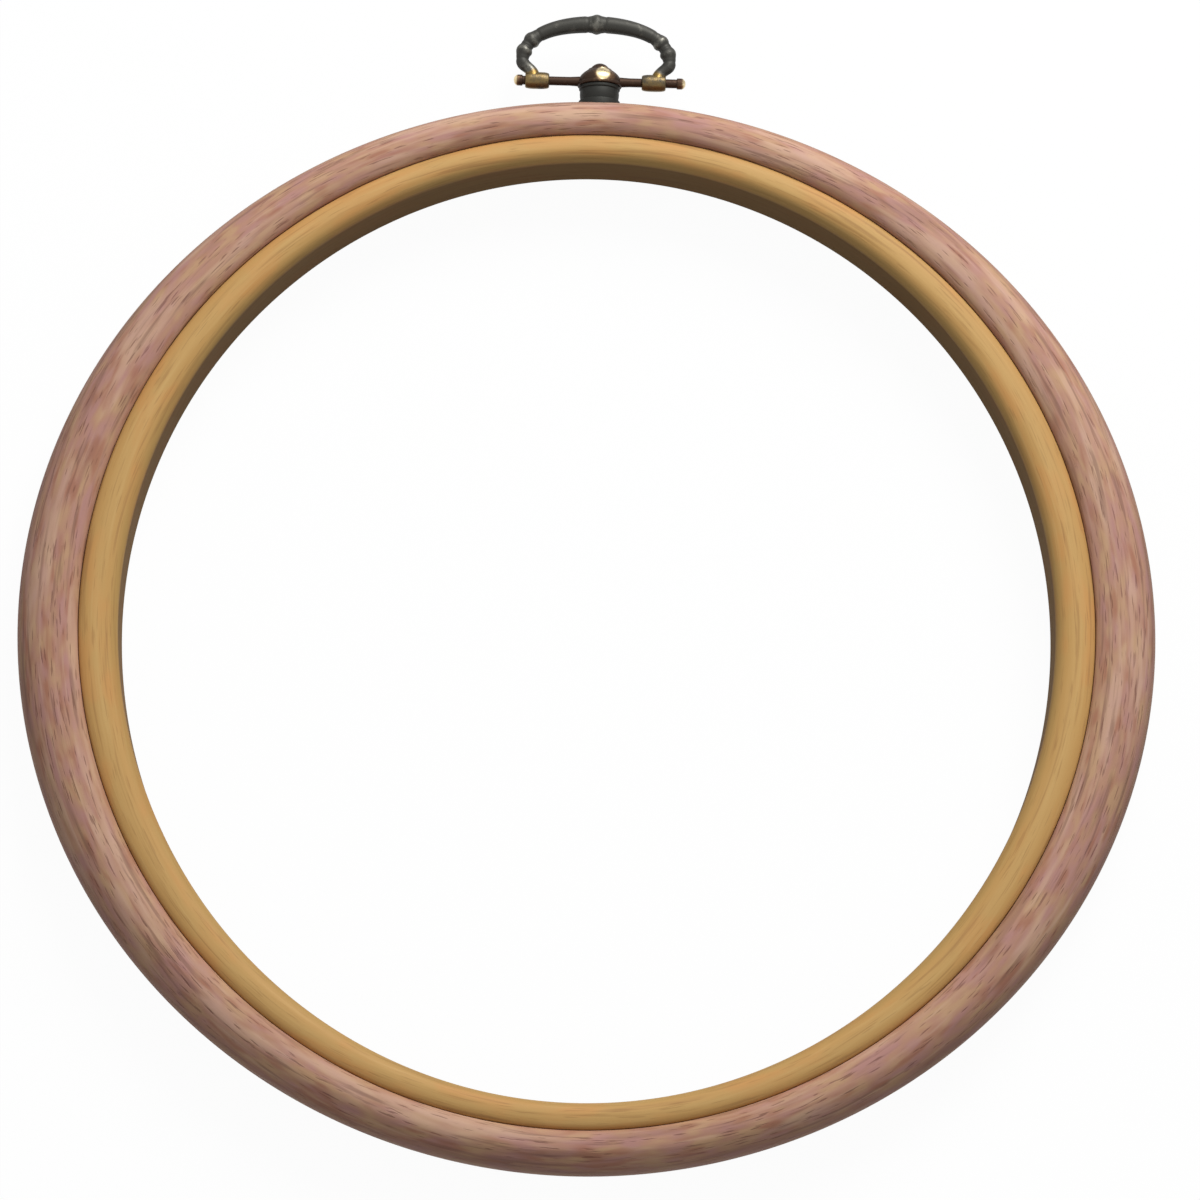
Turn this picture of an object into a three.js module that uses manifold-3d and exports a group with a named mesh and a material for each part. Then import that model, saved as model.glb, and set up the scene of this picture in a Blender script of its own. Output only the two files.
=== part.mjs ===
// Embroidery hoop with a flexible wood-look outer ring, made to double as a small wall frame.
// A rigid inner ring carries the cloth, the outer ring presses on over it from the front, and
// an antique-brass hanger with a swinging bail is screwed to the top of the outer ring.
// Millimetres. The hoop lies on its back: +Z is its front, +Y points to the hanger.

import * as THREE from "three";
import { mergeVertices } from "three/addons/utils/BufferGeometryUtils.js";
import Module from "manifold-3d";

// The fit between the two rings
const FIT_DIAMETER = 152.4; // outer wall of the inner ring, the hoop's nominal 6 inch size
const CLOTH_CLEARANCE = 0.3; // room for the cloth between the rings, a side
const RING_STEPS = 96; // facets round each ring

// Inner ring: its band is broader at the sides than at the top
const INNER_SIDE_WIDTH = 5.9;
const INNER_TOP_WIDTH = 4.1;
const INNER_DEPTH = 11.5;
const NOSE_RISE = 2.7; // height of the rounded front towards the opening
const NOSE_SHOULDER = 1.3; // its height towards the outer ring
const NOSE_STEPS = 4; // facets on each side of the crest
const BACK_CHAMFER = 0.7;
const FLANGE_WIDTH = 1.6; // lip at the back, on which the outer ring comes to rest
const FLANGE_THICKNESS = 1.6;

// Outer ring: a D section, flat towards the cloth
const OUTER_SIDE_WIDTH = 9.15;
const OUTER_TOP_WIDTH = 6.0;
const OUTER_DEPTH = 12;
const MOUTH_RADIUS = 0.7; // rounded edge where the cloth comes out at the front
const CROWN_LAND = 0.5; // flat stretch of the crown
const BACK_LAND = 1.2; // flat stretch that lies on the table
const FLANK_STEPS = 6;
const MOUTH_STEPS = 3;

// Hanger screw, its washer and their seats in the outer ring
const SHANK_RADIUS = 1.1;
const SHANK_CLEARANCE = 0.15;
const SHANK_TIP_CLEARANCE = 0.35;
const HEAD_RADIUS = 2.3;
const HEAD_HEIGHT = 1.1;
const HEAD_FACE_RADIUS = 1.6; // flat of the head, inside its rounded edge
const HEAD_RIM = 0.55; // straight stretch of the head's edge
const SLOT_WIDTH = 0.5;
const SLOT_DEPTH = 0.45;
const WASHER_RADIUS = 2.9;
const WASHER_THICKNESS = 0.5;
const HEAD_RECESS = 0.3; // how far the head stays below the wall that the cloth touches
const POCKET_CLEARANCE = 0.2;
const SPOT_DEPTH = 0.8; // flat seat cut into the rim for the ferrule

// Ferrule, turned
const FERRULE_RADIUS = 3.2;
const FERRULE_WAIST = 2.85;
const FERRULE_FOOT = 1.2; // height of its lower rim
const FERRULE_COLLAR = 3.1;
const COLLAR_HEIGHT = 0.6;

// Crossbar: a straight bar through a turned cone that ends in a ball
const PIVOT_RISE = 3.6; // axis of the bar above the rim
const BAR_RADIUS = 0.68;
const BOSS_RADIUS = 3.4;
const BOSS_DROP = 0.85; // underside of the boss below the axis
const BOSS_PLATE = 0.55; // thickness of its lower edge
const CONE_TOP_RADIUS = 1.65; // where the cone meets the ball
const CONE_TOP = 2.0; // height of that place above the axis
const CONE_SWELL = 0.25; // how far the cone's flank bulges
const CONE_STEPS = 4;
const BALL_RADIUS = 1.6;
const BALL_LIFT = 1.35; // centre of the ball above the axis
const SHOULDER_INSET = 0.05; // the bar's thick middle stays that far above the boss's underside
const SHOULDER_REACH = 4.6; // where the shoulder has run out, from the middle
const SHOULDER_START = 2.6; // where it begins
const BALL_STEPS = 6;

// Bail: an arched rod on two barrel knuckles
const BAIL_SPAN = 22.6; // between the arms' centre lines
const ARM_HEIGHT = 3.2; // from the axis to the foot of the arch
const ARCH_RISE = 6.0;
const ARCH_FULLNESS = 0.62; // 0.55 would be half an ellipse, more makes full shoulders
const ROD_RADIUS = 1.0;
const NECK_RADIUS = 0.8; // above each foot
const FLARE_RADIUS = 1.2; // of the foot where it grows out of its knuckle
const FLARE_LENGTH = 2.2; // length over which it thins to the neck
const CROWN_RADIUS = 1.3; // the rod is fullest in the middle
const BEAD_SWELL = 0.25; // turned beads on the rod
const BEAD_LENGTH = 2.0;
const SHOULDER_BEADS = [0.14, 0.2]; // places along the rod from each foot, of the whole rod
const KNUCKLE_LENGTH = 3.7;
const KNUCKLE_RADIUS = 1.3;
const KNUCKLE_END_RADIUS = 1.1;
const KNUCKLE_TAPER = 0.85; // length over which a knuckle narrows to its end
const KNUCKLE_INSET = 0.5; // outer face of a knuckle inside the arm's centre line
const CAP_PASSAGE = 0.25; // room between an arm's swan neck and the end cap below it
const BORE_CLEARANCE = 0.12;
const END_PLAY = 1.05; // how far the bail can slide to either side
const REST_GAP = 0.4; // it lies that far from the left end cap
const NECK_TAPER = 0.08; // share of the rod over which a neck grows to the full rod
const ROD_STEPS = 50;
const ROD_SIDES = 10;

// End caps, riveted on the bar's spigots
const CAP_RADIUS = 0.85;
const CAP_LENGTH = 1.35;
const DOME_LENGTH = 0.7;
const DOME_STEPS = 4;
const SPIGOT_RADIUS = 0.42;
const SPIGOT_LENGTH = 0.7;
const SOCKET_CLEARANCE = 0.1;

const TURNED_STEPS = 24; // facets round the ferrule, boss, screw and washer
const SMALL_STEPS = 16; // facets round the bar, knuckles and caps
const CUT_MARGIN = 1; // how far a cutting tool runs past what it cuts

// Places worked out from the sizes above
const fitRadius = FIT_DIAMETER / 2;
const cavityRadius = fitRadius + CLOTH_CLEARANCE;
const rimTop = cavityRadius + OUTER_TOP_WIDTH;
const midDepth = OUTER_DEPTH / 2;
const pivotY = rimTop + PIVOT_RISE;
const bossBase = pivotY - BOSS_DROP;
const ferruleSeat = rimTop - SPOT_DEPTH;
const washerSeat = cavityRadius + HEAD_RECESS + HEAD_HEIGHT + WASHER_THICKNESS;
const boreRadius = BAR_RADIUS + BORE_CLEARANCE;
const holeRadius = SHANK_RADIUS + SHANK_CLEARANCE;
const knuckleOuter = BAIL_SPAN / 2 - KNUCKLE_INSET;
const barHalf = knuckleOuter + END_PLAY;
const shoulderRadius = BOSS_DROP - SHOULDER_INSET;
const bailSlide = REST_GAP - END_PLAY;
const hangerTop = pivotY + ARM_HEIGHT + ARCH_RISE + CROWN_RADIUS + BEAD_SWELL;

const wasm = await Module();
wasm.setup();

// A closed geometry as a solid that can be joined and cut.
function solidOf(geometry) {
  geometry.deleteAttribute("normal");
  geometry.deleteAttribute("uv");
  const merged = mergeVertices(geometry, 1e-4);
  const corners = merged.index.array;
  const kept = [];
  for (let i = 0; i < corners.length; i += 3) {
    const [a, b, c] = corners.subarray(i, i + 3);
    if (a !== b && b !== c && c !== a) kept.push(a, b, c);
  }
  return new wasm.Manifold(
    new wasm.Mesh({
      numProp: 3,
      vertProperties: merged.attributes.position.array,
      triVerts: new Uint32Array(kept),
    }),
  );
}

function geometryOf(solid) {
  const made = solid.getMesh();
  const geometry = new THREE.BufferGeometry();
  geometry.setAttribute("position", new THREE.BufferAttribute(made.vertProperties, 3));
  geometry.setIndex(new THREE.BufferAttribute(made.triVerts, 1));
  geometry.computeVertexNormals();
  return geometry;
}

// Rows of points, each row a closed loop of the same count, joined into a skin.
// The skin closes on itself, or is capped at both ends.
function skin(rows, closed) {
  const count = rows[0].length;
  const positions = rows.flat().flatMap((p) => [p.x, p.y, p.z]);
  const corners = [];
  const spans = closed ? rows.length : rows.length - 1;
  for (let i = 0; i < spans; i++) {
    const here = i * count;
    const next = ((i + 1) % rows.length) * count;
    for (let j = 0; j < count; j++) {
      const k = (j + 1) % count;
      corners.push(here + j, next + j, next + k, here + j, next + k, here + k);
    }
  }
  if (!closed) {
    const last = (rows.length - 1) * count;
    for (let j = 1; j < count - 1; j++) {
      corners.push(0, j, j + 1, last, last + j + 1, last + j);
    }
  }
  const geometry = new THREE.BufferGeometry();
  geometry.setAttribute("position", new THREE.Float32BufferAttribute(positions, 3));
  geometry.setIndex(corners);
  return geometry;
}

// A profile of [radius, height] pairs turned about the Y axis.
function turned(profile, steps) {
  return new THREE.LatheGeometry(
    profile.map(([radius, height]) => new THREE.Vector2(radius, height)),
    steps,
  );
}

// The same, laid along the X axis: heights become places along X.
function turnedAlongX(profile, steps) {
  return turned(profile, steps).rotateZ(-Math.PI / 2);
}

// Points on an arc of an ellipse, from one angle to another, both ends included.
function arc(centreX, centreY, halfX, halfY, from, to, steps) {
  return Array.from({ length: steps + 1 }, (_, i) => {
    const angle = from + ((to - from) * i) / steps;
    return [centreX + halfX * Math.cos(angle), centreY + halfY * Math.sin(angle)];
  });
}

// Distance from the centre to an ellipse in the direction of an angle.
function ellipseRadius(halfX, halfY, angle) {
  return (halfX * halfY) / Math.hypot(halfY * Math.cos(angle), halfX * Math.sin(angle));
}

// A ring whose section, a loop of [radius, z] pairs, may change round the ring.
function ring(sectionAt) {
  const rows = Array.from({ length: RING_STEPS }, (_, i) => {
    const angle = (2 * Math.PI * i) / RING_STEPS;
    return sectionAt(angle).map(
      ([radius, z]) => new THREE.Vector3(radius * Math.cos(angle), radius * Math.sin(angle), z),
    );
  });
  return skin(rows, true);
}

function innerSection(angle) {
  const wall = ellipseRadius(fitRadius - INNER_SIDE_WIDTH, fitRadius - INNER_TOP_WIDTH, angle);
  const halfBand = (fitRadius - wall) / 2;
  const crest = wall + halfBand;
  const noseBase = INNER_DEPTH - NOSE_RISE;
  const shoulderBase = INNER_DEPTH - NOSE_SHOULDER;
  const right = Math.PI / 2;
  return [
    [wall + BACK_CHAMFER, 0],
    [fitRadius + FLANGE_WIDTH, 0],
    [fitRadius + FLANGE_WIDTH, FLANGE_THICKNESS],
    [fitRadius, FLANGE_THICKNESS],
    ...arc(crest, shoulderBase, halfBand, NOSE_SHOULDER, 0, right, NOSE_STEPS),
    ...arc(crest, noseBase, halfBand, NOSE_RISE, right, 2 * right, NOSE_STEPS).slice(1),
    [wall, BACK_CHAMFER],
  ];
}

function outerSection(angle) {
  const rim = ellipseRadius(cavityRadius + OUTER_SIDE_WIDTH, rimTop, angle);
  const landEnd = cavityRadius + FLANGE_WIDTH + BACK_LAND;
  const mouthCentre = cavityRadius + MOUTH_RADIUS;
  const mouthBase = OUTER_DEPTH - MOUTH_RADIUS;
  const crownEnd = mouthCentre + CROWN_LAND;
  const right = Math.PI / 2;
  return [
    [cavityRadius + FLANGE_WIDTH, 0],
    ...arc(landEnd, midDepth, rim - landEnd, midDepth, -right, 0, FLANK_STEPS),
    ...arc(crownEnd, midDepth, rim - crownEnd, midDepth, 0, right, FLANK_STEPS).slice(1),
    ...arc(mouthCentre, mouthBase, MOUTH_RADIUS, MOUTH_RADIUS, right, 2 * right, MOUTH_STEPS),
    [cavityRadius, FLANGE_THICKNESS],
    [cavityRadius + FLANGE_WIDTH, FLANGE_THICKNESS],
  ];
}

// The stepped hole through the top of the outer ring: washer seat, shank hole, ferrule seat.
function hangerWay() {
  const pocket = WASHER_RADIUS + POCKET_CLEARANCE;
  const spot = FERRULE_RADIUS + POCKET_CLEARANCE;
  const profile = [
    [0, cavityRadius - CUT_MARGIN],
    [pocket, cavityRadius - CUT_MARGIN],
    [pocket, washerSeat],
    [holeRadius, washerSeat],
    [holeRadius, ferruleSeat],
    [spot, ferruleSeat],
    [spot, rimTop + CUT_MARGIN],
    [0, rimTop + CUT_MARGIN],
  ];
  return solidOf(turned(profile, TURNED_STEPS).translate(0, 0, midDepth));
}

function outerRing() {
  return geometryOf(solidOf(ring(outerSection)).subtract(hangerWay()));
}

function ferrule() {
  const waistBase = ferruleSeat + FERRULE_FOOT;
  const waistTop = bossBase - COLLAR_HEIGHT;
  return turned(
    [
      [holeRadius, ferruleSeat],
      [FERRULE_RADIUS, ferruleSeat],
      [FERRULE_RADIUS, waistBase],
      [FERRULE_WAIST, (waistBase + waistTop) / 2],
      [FERRULE_COLLAR, waistTop],
      [FERRULE_COLLAR, bossBase],
      [holeRadius, bossBase],
      [holeRadius, ferruleSeat],
    ],
    TURNED_STEPS,
  ).translate(0, 0, midDepth);
}

// The cone with its ball, the bar with a spigot at each end, and the screw's blind hole.
function crossbar() {
  const ballCentre = pivotY + BALL_LIFT;
  const ballStart = Math.asin((CONE_TOP - BALL_LIFT) / BALL_RADIUS);
  const ball = arc(0, ballCentre, BALL_RADIUS, BALL_RADIUS, ballStart, Math.PI / 2, BALL_STEPS);
  ball[ball.length - 1][0] = 0;
  const coneBase = bossBase + BOSS_PLATE;
  const coneHeight = pivotY + CONE_TOP - coneBase;
  const cone = Array.from({ length: CONE_STEPS + 1 }, (_, i) => {
    const share = i / CONE_STEPS;
    const swell = CONE_SWELL * Math.sin(Math.PI * share);
    const radius = BOSS_RADIUS + (CONE_TOP_RADIUS - BOSS_RADIUS) * share + swell;
    return [radius, coneBase + coneHeight * share];
  });
  const boss = turned(
    [
      [0, bossBase],
      [BOSS_RADIUS, bossBase],
      ...cone,
      ...ball,
    ],
    TURNED_STEPS,
  ).translate(0, 0, midDepth);
  const barEnd = barHalf + SPIGOT_LENGTH;
  const bar = turnedAlongX(
    [
      [0, -barEnd],
      [SPIGOT_RADIUS, -barEnd],
      [SPIGOT_RADIUS, -barHalf],
      [BAR_RADIUS, -barHalf],
      [BAR_RADIUS, -SHOULDER_REACH],
      [shoulderRadius, -SHOULDER_START],
      [shoulderRadius, SHOULDER_START],
      [BAR_RADIUS, SHOULDER_REACH],
      [BAR_RADIUS, barHalf],
      [SPIGOT_RADIUS, barHalf],
      [SPIGOT_RADIUS, barEnd],
      [0, barEnd],
    ],
    SMALL_STEPS,
  ).translate(0, pivotY, midDepth);
  const hole = turned(
    [
      [0, bossBase - CUT_MARGIN],
      [holeRadius, bossBase - CUT_MARGIN],
      [holeRadius, pivotY + SHANK_TIP_CLEARANCE],
      [0, pivotY + SHANK_TIP_CLEARANCE],
    ],
    TURNED_STEPS,
  ).translate(0, 0, midDepth);
  return geometryOf(solidOf(boss).add(solidOf(bar)).subtract(solidOf(hole)));
}

// The rod's centre line, from the left foot over the arch to the right foot. It starts inside
// the knuckles' bores, which are cut afterwards.
function bailLine() {
  const half = BAIL_SPAN / 2;
  const foot = knuckleOuter - FLARE_RADIUS;
  const base = boreRadius / 2;
  const clearOfCap = CAP_RADIUS + CAP_PASSAGE + ROD_RADIUS;
  const top = ARM_HEIGHT + ARCH_RISE;
  const shoulder = ARM_HEIGHT + ARCH_RISE * ARCH_FULLNESS;
  const crown = half * ARCH_FULLNESS;
  const line = new THREE.Path();
  line.moveTo(-foot, base);
  line.bezierCurveTo(-foot, clearOfCap, -half, clearOfCap, -half, ARM_HEIGHT);
  line.bezierCurveTo(-half, shoulder, -crown, top, 0, top);
  line.bezierCurveTo(crown, top, half, shoulder, half, ARM_HEIGHT);
  line.bezierCurveTo(half, clearOfCap, foot, clearOfCap, foot, base);
  return line;
}

// The rod's radius at a place along it: flared feet, thin necks, a full middle, and beads that
// swell and fall as a raised cosine.
function rodRadius(place, length) {
  const fromFoot = Math.min(place, 1 - place);
  const body = NECK_RADIUS + (ROD_RADIUS - NECK_RADIUS) * Math.min(1, fromFoot / NECK_TAPER);
  const thinned = Math.min(1, (fromFoot * length) / FLARE_LENGTH);
  const flare = (FLARE_RADIUS - NECK_RADIUS) * (1 - thinned) ** 2;
  const full = (CROWN_RADIUS - ROD_RADIUS) * Math.sin(Math.PI * place) ** 4;
  const beads = [...SHOULDER_BEADS, 0.5, ...SHOULDER_BEADS.map((p) => 1 - p)];
  const swell = beads.map((bead) => {
    const away = Math.min(1, Math.abs(place - bead) / (BEAD_LENGTH / 2 / length));
    return (BEAD_SWELL * (1 + Math.cos(Math.PI * away))) / 2;
  });
  return body + flare + full + Math.max(...swell);
}

function bailRod() {
  const line = bailLine();
  const length = line.getLength();
  const rows = Array.from({ length: ROD_STEPS + 1 }, (_, i) => {
    const place = i / ROD_STEPS;
    const centre = line.getPointAt(place);
    const along = line.getTangentAt(place);
    const radius = rodRadius(place, length);
    return Array.from({ length: ROD_SIDES }, (_, j) => {
      const turn = (2 * Math.PI * j) / ROD_SIDES;
      const out = radius * Math.cos(turn);
      return new THREE.Vector3(
        centre.x + along.y * out,
        centre.y - along.x * out,
        radius * Math.sin(turn),
      );
    });
  });
  return skin(rows, false);
}

// One barrel knuckle, without its bore, on the side that the sign gives.
function knuckle(side) {
  const middle = side * (knuckleOuter - KNUCKLE_LENGTH / 2);
  const half = KNUCKLE_LENGTH / 2;
  return turnedAlongX(
    [
      [0, middle - half],
      [KNUCKLE_END_RADIUS, middle - half],
      [KNUCKLE_RADIUS, middle - half + KNUCKLE_TAPER],
      [KNUCKLE_RADIUS, middle + half - KNUCKLE_TAPER],
      [KNUCKLE_END_RADIUS, middle + half],
      [0, middle + half],
    ],
    SMALL_STEPS,
  );
}

function bail() {
  const reach = knuckleOuter + CUT_MARGIN;
  // The bore's facets keep clear of the bar's corners as the bail turns.
  const cornered = boreRadius / Math.cos(Math.PI / SMALL_STEPS);
  const bore = turnedAlongX(
    [
      [0, -reach],
      [cornered, -reach],
      [cornered, reach],
      [0, reach],
    ],
    SMALL_STEPS,
  );
  const body = solidOf(bailRod())
    .add(solidOf(knuckle(-1)))
    .add(solidOf(knuckle(1)))
    .subtract(solidOf(bore));
  return geometryOf(body).translate(bailSlide, pivotY, midDepth);
}

// A domed cap with a socket for the bar's spigot, on the side that the sign gives.
function endCap(side) {
  const inner = side * barHalf;
  const socketEnd = inner + side * (SPIGOT_LENGTH + SOCKET_CLEARANCE);
  const socket = SPIGOT_RADIUS + SOCKET_CLEARANCE;
  const domeBase = inner + side * (CAP_LENGTH - DOME_LENGTH);
  const dome = arc(0, domeBase, CAP_RADIUS, side * DOME_LENGTH, 0, Math.PI / 2, DOME_STEPS);
  dome[dome.length - 1][0] = 0;
  const profile = [[0, socketEnd], [socket, socketEnd], [socket, inner], [CAP_RADIUS, inner], ...dome];
  if (side < 0) profile.reverse();
  return turnedAlongX(profile, SMALL_STEPS).translate(0, pivotY, midDepth);
}

function washer() {
  return turned(
    [
      [holeRadius, washerSeat - WASHER_THICKNESS],
      [WASHER_RADIUS, washerSeat - WASHER_THICKNESS],
      [WASHER_RADIUS, washerSeat],
      [holeRadius, washerSeat],
      [holeRadius, washerSeat - WASHER_THICKNESS],
    ],
    TURNED_STEPS,
  ).translate(0, 0, midDepth);
}

// A pan-head screw whose head bears on the washer and whose shank ends in the boss.
function hangerScrew() {
  const seat = washerSeat - WASHER_THICKNESS;
  const face = seat - HEAD_HEIGHT;
  const head = turned(
    [
      [0, face],
      [HEAD_FACE_RADIUS, face],
      [HEAD_RADIUS, seat - HEAD_RIM],
      [HEAD_RADIUS, seat],
      [SHANK_RADIUS, seat],
      [SHANK_RADIUS, pivotY],
      [0, pivotY],
    ],
    TURNED_STEPS,
  );
  const slotDepth = SLOT_DEPTH + CUT_MARGIN;
  const slot = new THREE.BoxGeometry(SLOT_WIDTH, slotDepth, 2 * (HEAD_RADIUS + CUT_MARGIN));
  slot.translate(0, face + SLOT_DEPTH - slotDepth / 2, 0);
  return geometryOf(solidOf(head).subtract(solidOf(slot))).translate(0, 0, midDepth);
}

// Finishes
const INNER_FINISH = { color: 0xc59d60, roughness: 0.45, metalness: 0 };
const OUTER_FINISH = { color: 0xb08a78, roughness: 0.5, metalness: 0 };
const BRASS_FINISH = { color: 0x7a6743, roughness: 0.4, metalness: 0.9 };
const DARK_BRASS_FINISH = { color: 0x4c4a42, roughness: 0.45, metalness: 0.9 };
const STEEL_FINISH = { color: 0x9a9a96, roughness: 0.35, metalness: 0.9 };

const pieces = [
  ["inner_ring", ring(innerSection), INNER_FINISH],
  ["outer_ring", outerRing(), OUTER_FINISH],
  ["hanger_ferrule", ferrule(), DARK_BRASS_FINISH],
  ["hanger_crossbar", crossbar(), BRASS_FINISH],
  ["hanger_bail", bail(), DARK_BRASS_FINISH],
  ["left_end_cap", endCap(-1), BRASS_FINISH],
  ["right_end_cap", endCap(1), BRASS_FINISH],
  ["screw_washer", washer(), STEEL_FINISH],
  ["hanger_screw", hangerScrew(), STEEL_FINISH],
];

const hoop = new THREE.Group();
for (const [name, geometry, finish] of pieces) {
  const mesh = new THREE.Mesh(geometry, new THREE.MeshStandardMaterial(finish));
  mesh.name = name;
  hoop.add(mesh);
}
// The ring's centre lies below the origin, which is the middle of the whole length.
hoop.position.y = (rimTop - hangerTop) / 2;

const part = new THREE.Group();
part.add(hoop);
export default part;
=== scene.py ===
"""Looks of an embroidery hoop: an ochre inner ring, a wood-look outer ring and a brass hanger.

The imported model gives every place, and a fine surface is built over each of its nodes. Lengths
are metres, and a size in millimetres is written as a number times MM. The hoop lies on its back:
+Z is its front and +Y points to the hanger.
"""

from __future__ import annotations

import logging
import math
from dataclasses import dataclass
from enum import Enum
from typing import Callable, Mapping, Sequence, Union

import bpy
import numpy as np
from mathutils import Matrix, Vector
from numpy.typing import ArrayLike


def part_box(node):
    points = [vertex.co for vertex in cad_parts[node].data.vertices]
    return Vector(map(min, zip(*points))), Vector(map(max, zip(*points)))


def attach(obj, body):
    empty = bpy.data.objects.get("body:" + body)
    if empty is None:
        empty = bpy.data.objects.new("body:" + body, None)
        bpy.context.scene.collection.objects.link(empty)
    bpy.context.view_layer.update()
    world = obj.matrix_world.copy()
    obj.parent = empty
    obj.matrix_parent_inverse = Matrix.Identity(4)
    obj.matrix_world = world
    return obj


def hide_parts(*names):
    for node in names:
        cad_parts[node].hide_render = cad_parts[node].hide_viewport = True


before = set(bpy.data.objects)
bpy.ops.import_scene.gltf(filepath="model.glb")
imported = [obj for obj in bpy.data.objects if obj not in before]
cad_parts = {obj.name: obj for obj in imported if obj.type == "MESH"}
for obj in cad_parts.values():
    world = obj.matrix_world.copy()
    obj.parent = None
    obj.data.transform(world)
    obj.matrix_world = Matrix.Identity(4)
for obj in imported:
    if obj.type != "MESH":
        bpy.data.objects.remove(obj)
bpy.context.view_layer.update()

LOG = logging.getLogger("embroidery_hoop")
MM = 0.001
WELD_DISTANCE = 0.0002 * MM
SHARP_ANGLE = math.radians(38)
CUT_MARGIN = 1 * MM  # how far a cutting tool runs past what it cuts

Colour = tuple[float, float, float, float]
WHITE: Colour = (1.0, 1.0, 1.0, 1.0)


def srgb(red: int, green: int, blue: int) -> Colour:
    """Turns a colour written as 0 to 255 a channel into the linear colour that shaders use.

    Args:
        red: the red channel.
        green: the green channel.
        blue: the blue channel.

    Returns:
        Linear red, green and blue, and an alpha of one.
    """
    shares = np.array([red, green, blue]) / 255
    linear = np.where(shares <= 0.04045, shares / 12.92, ((shares + 0.055) / 1.055) ** 2.4)
    return (*linear.tolist(), 1.0)


class Axis(Enum):
    """The direction of the line that a piece is turned about."""

    ALONG_X = "x"
    ALONG_Y = "y"


class Joining(Enum):
    """How a second solid changes the first."""

    JOIN = "UNION"
    CUT = "DIFFERENCE"


def arc(
    centre: tuple[np.ndarray | float, float],
    half: tuple[np.ndarray | float, float],
    start: float,
    end: float,
    steps: int = 4,
) -> np.ndarray:
    """Points on a stretch of an ellipse: centre plus half width by cosine, half height by sine.

    Args:
        centre: middle of the ellipse; its first value may be a column of values.
        half: half width and half height; the first value may be a column of values.
        start: angle of the first point in degrees, from the first direction.
        end: angle of the last point in degrees.
        steps: number of stretches between points; four are enough for a small round edge.

    Returns:
        An array whose last axis holds the two coordinates, with a row for each value of a column.
    """
    angles = np.radians(np.linspace(start, end, steps + 1))
    first = centre[0] + half[0] * np.cos(angles)
    second = centre[1] + half[1] * np.sin(angles)
    return np.stack(np.broadcast_arrays(first, second), axis=-1)


def line(start: tuple[float, float], end: tuple[float, float], steps: int) -> np.ndarray:
    """Points evenly placed inside a straight stretch: a blend of its ends by the share gone.

    Args:
        start: end that the points run from, which is left out.
        end: end that they run to, which is left out too.
        steps: number of stretches between points.

    Returns:
        An array of points.
    """
    share = np.linspace(0, 1, steps + 1)[1:-1, None]
    return np.array(start) * (1 - share) + np.array(end) * share


def cubic(controls: Sequence[tuple[float, float]], steps: int) -> np.ndarray:
    """Points on a cubic curve: its four control points weighted by the cubes and mixed products
    of the share gone and the share left.

    Args:
        controls: the curve's two ends, with the two points that pull on it between them.
        steps: number of stretches between points.

    Returns:
        An array of points, both ends included.
    """
    gone = np.linspace(0, 1, steps + 1)[:, None]
    left = 1 - gone
    weights = (left**3, 3 * left**2 * gone, 3 * left * gone**2, gone**3)
    return sum(weight * np.array(control) for weight, control in zip(weights, controls))


def ellipse_radius(half: tuple[float, float], angles: np.ndarray) -> np.ndarray:
    """Distance from the centre to an ellipse at each angle: the product of its half widths over
    the length of (second half width by cosine, first by sine).

    Args:
        half: half widths along the first and the second direction.
        angles: angles from the first direction, in radians.

    Returns:
        The distance at each angle.
    """
    return half[0] * half[1] / np.hypot(half[1] * np.cos(angles), half[0] * np.sin(angles))


def add_object(name: str, data: bpy.types.ID) -> bpy.types.Object:
    """Puts a mesh, lamp or camera into the scene.

    Args:
        name: name of the new object.
        data: what it shows.

    Returns:
        The object.
    """
    made = bpy.data.objects.new(name, data)
    bpy.context.scene.collection.objects.link(made)
    return made


@dataclass
class Surface:
    """A grid of points whose columns go round and close, and whose rows may close too."""

    points: np.ndarray  # array of rows by columns by three coordinates
    rows_close: bool  # whether the last row joins the first

    def _quads(self) -> np.ndarray:
        """Numbers the corners of each face, turned round if the enclosed volume, which is the sum
        of the corners' triple products, is below zero.

        Returns:
            An array of four corner numbers a face.
        """
        rows, columns = self.points.shape[:2]
        row = np.arange(rows if self.rows_close else rows - 1)[:, None]
        column = np.arange(columns)[None, :]
        next_row = (row + 1) % rows
        next_column = (column + 1) % columns
        corners = [
            row * columns + column,
            row * columns + next_column,
            next_row * columns + next_column,
            next_row * columns + column,
        ]
        quads = np.stack(np.broadcast_arrays(*corners), axis=-1).reshape(-1, 4)
        a, b, c, d = self.points.reshape(-1, 3)[quads].transpose(1, 0, 2)
        volume = np.einsum("ij,ij->", a, np.cross(b, c) + np.cross(c, d))
        return quads if volume > 0 else quads[:, ::-1]

    def build(self, name: str) -> bpy.types.Object:
        """Puts the grid into a mesh, welds its seams and poles, and shades it smooth.

        Args:
            name: name of the new object.

        Returns:
            The object, at the origin, with its place in its mesh.
        """
        quads = self._quads()
        mesh = bpy.data.meshes.new(name)
        mesh.vertices.add(self.points.shape[0] * self.points.shape[1])
        mesh.vertices.foreach_set("co", self.points.astype(np.float32).ravel())
        mesh.loops.add(quads.size)
        mesh.loops.foreach_set("vertex_index", quads.astype(np.int32).ravel())
        mesh.polygons.add(len(quads))
        mesh.polygons.foreach_set("loop_start", np.arange(0, quads.size, 4, dtype=np.int32))
        mesh.update(calc_edges=True)
        made = add_object(name, mesh)
        weld = made.modifiers.new("weld", "WELD")
        weld.merge_threshold = WELD_DISTANCE
        bake_modifiers(made)
        return made


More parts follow.
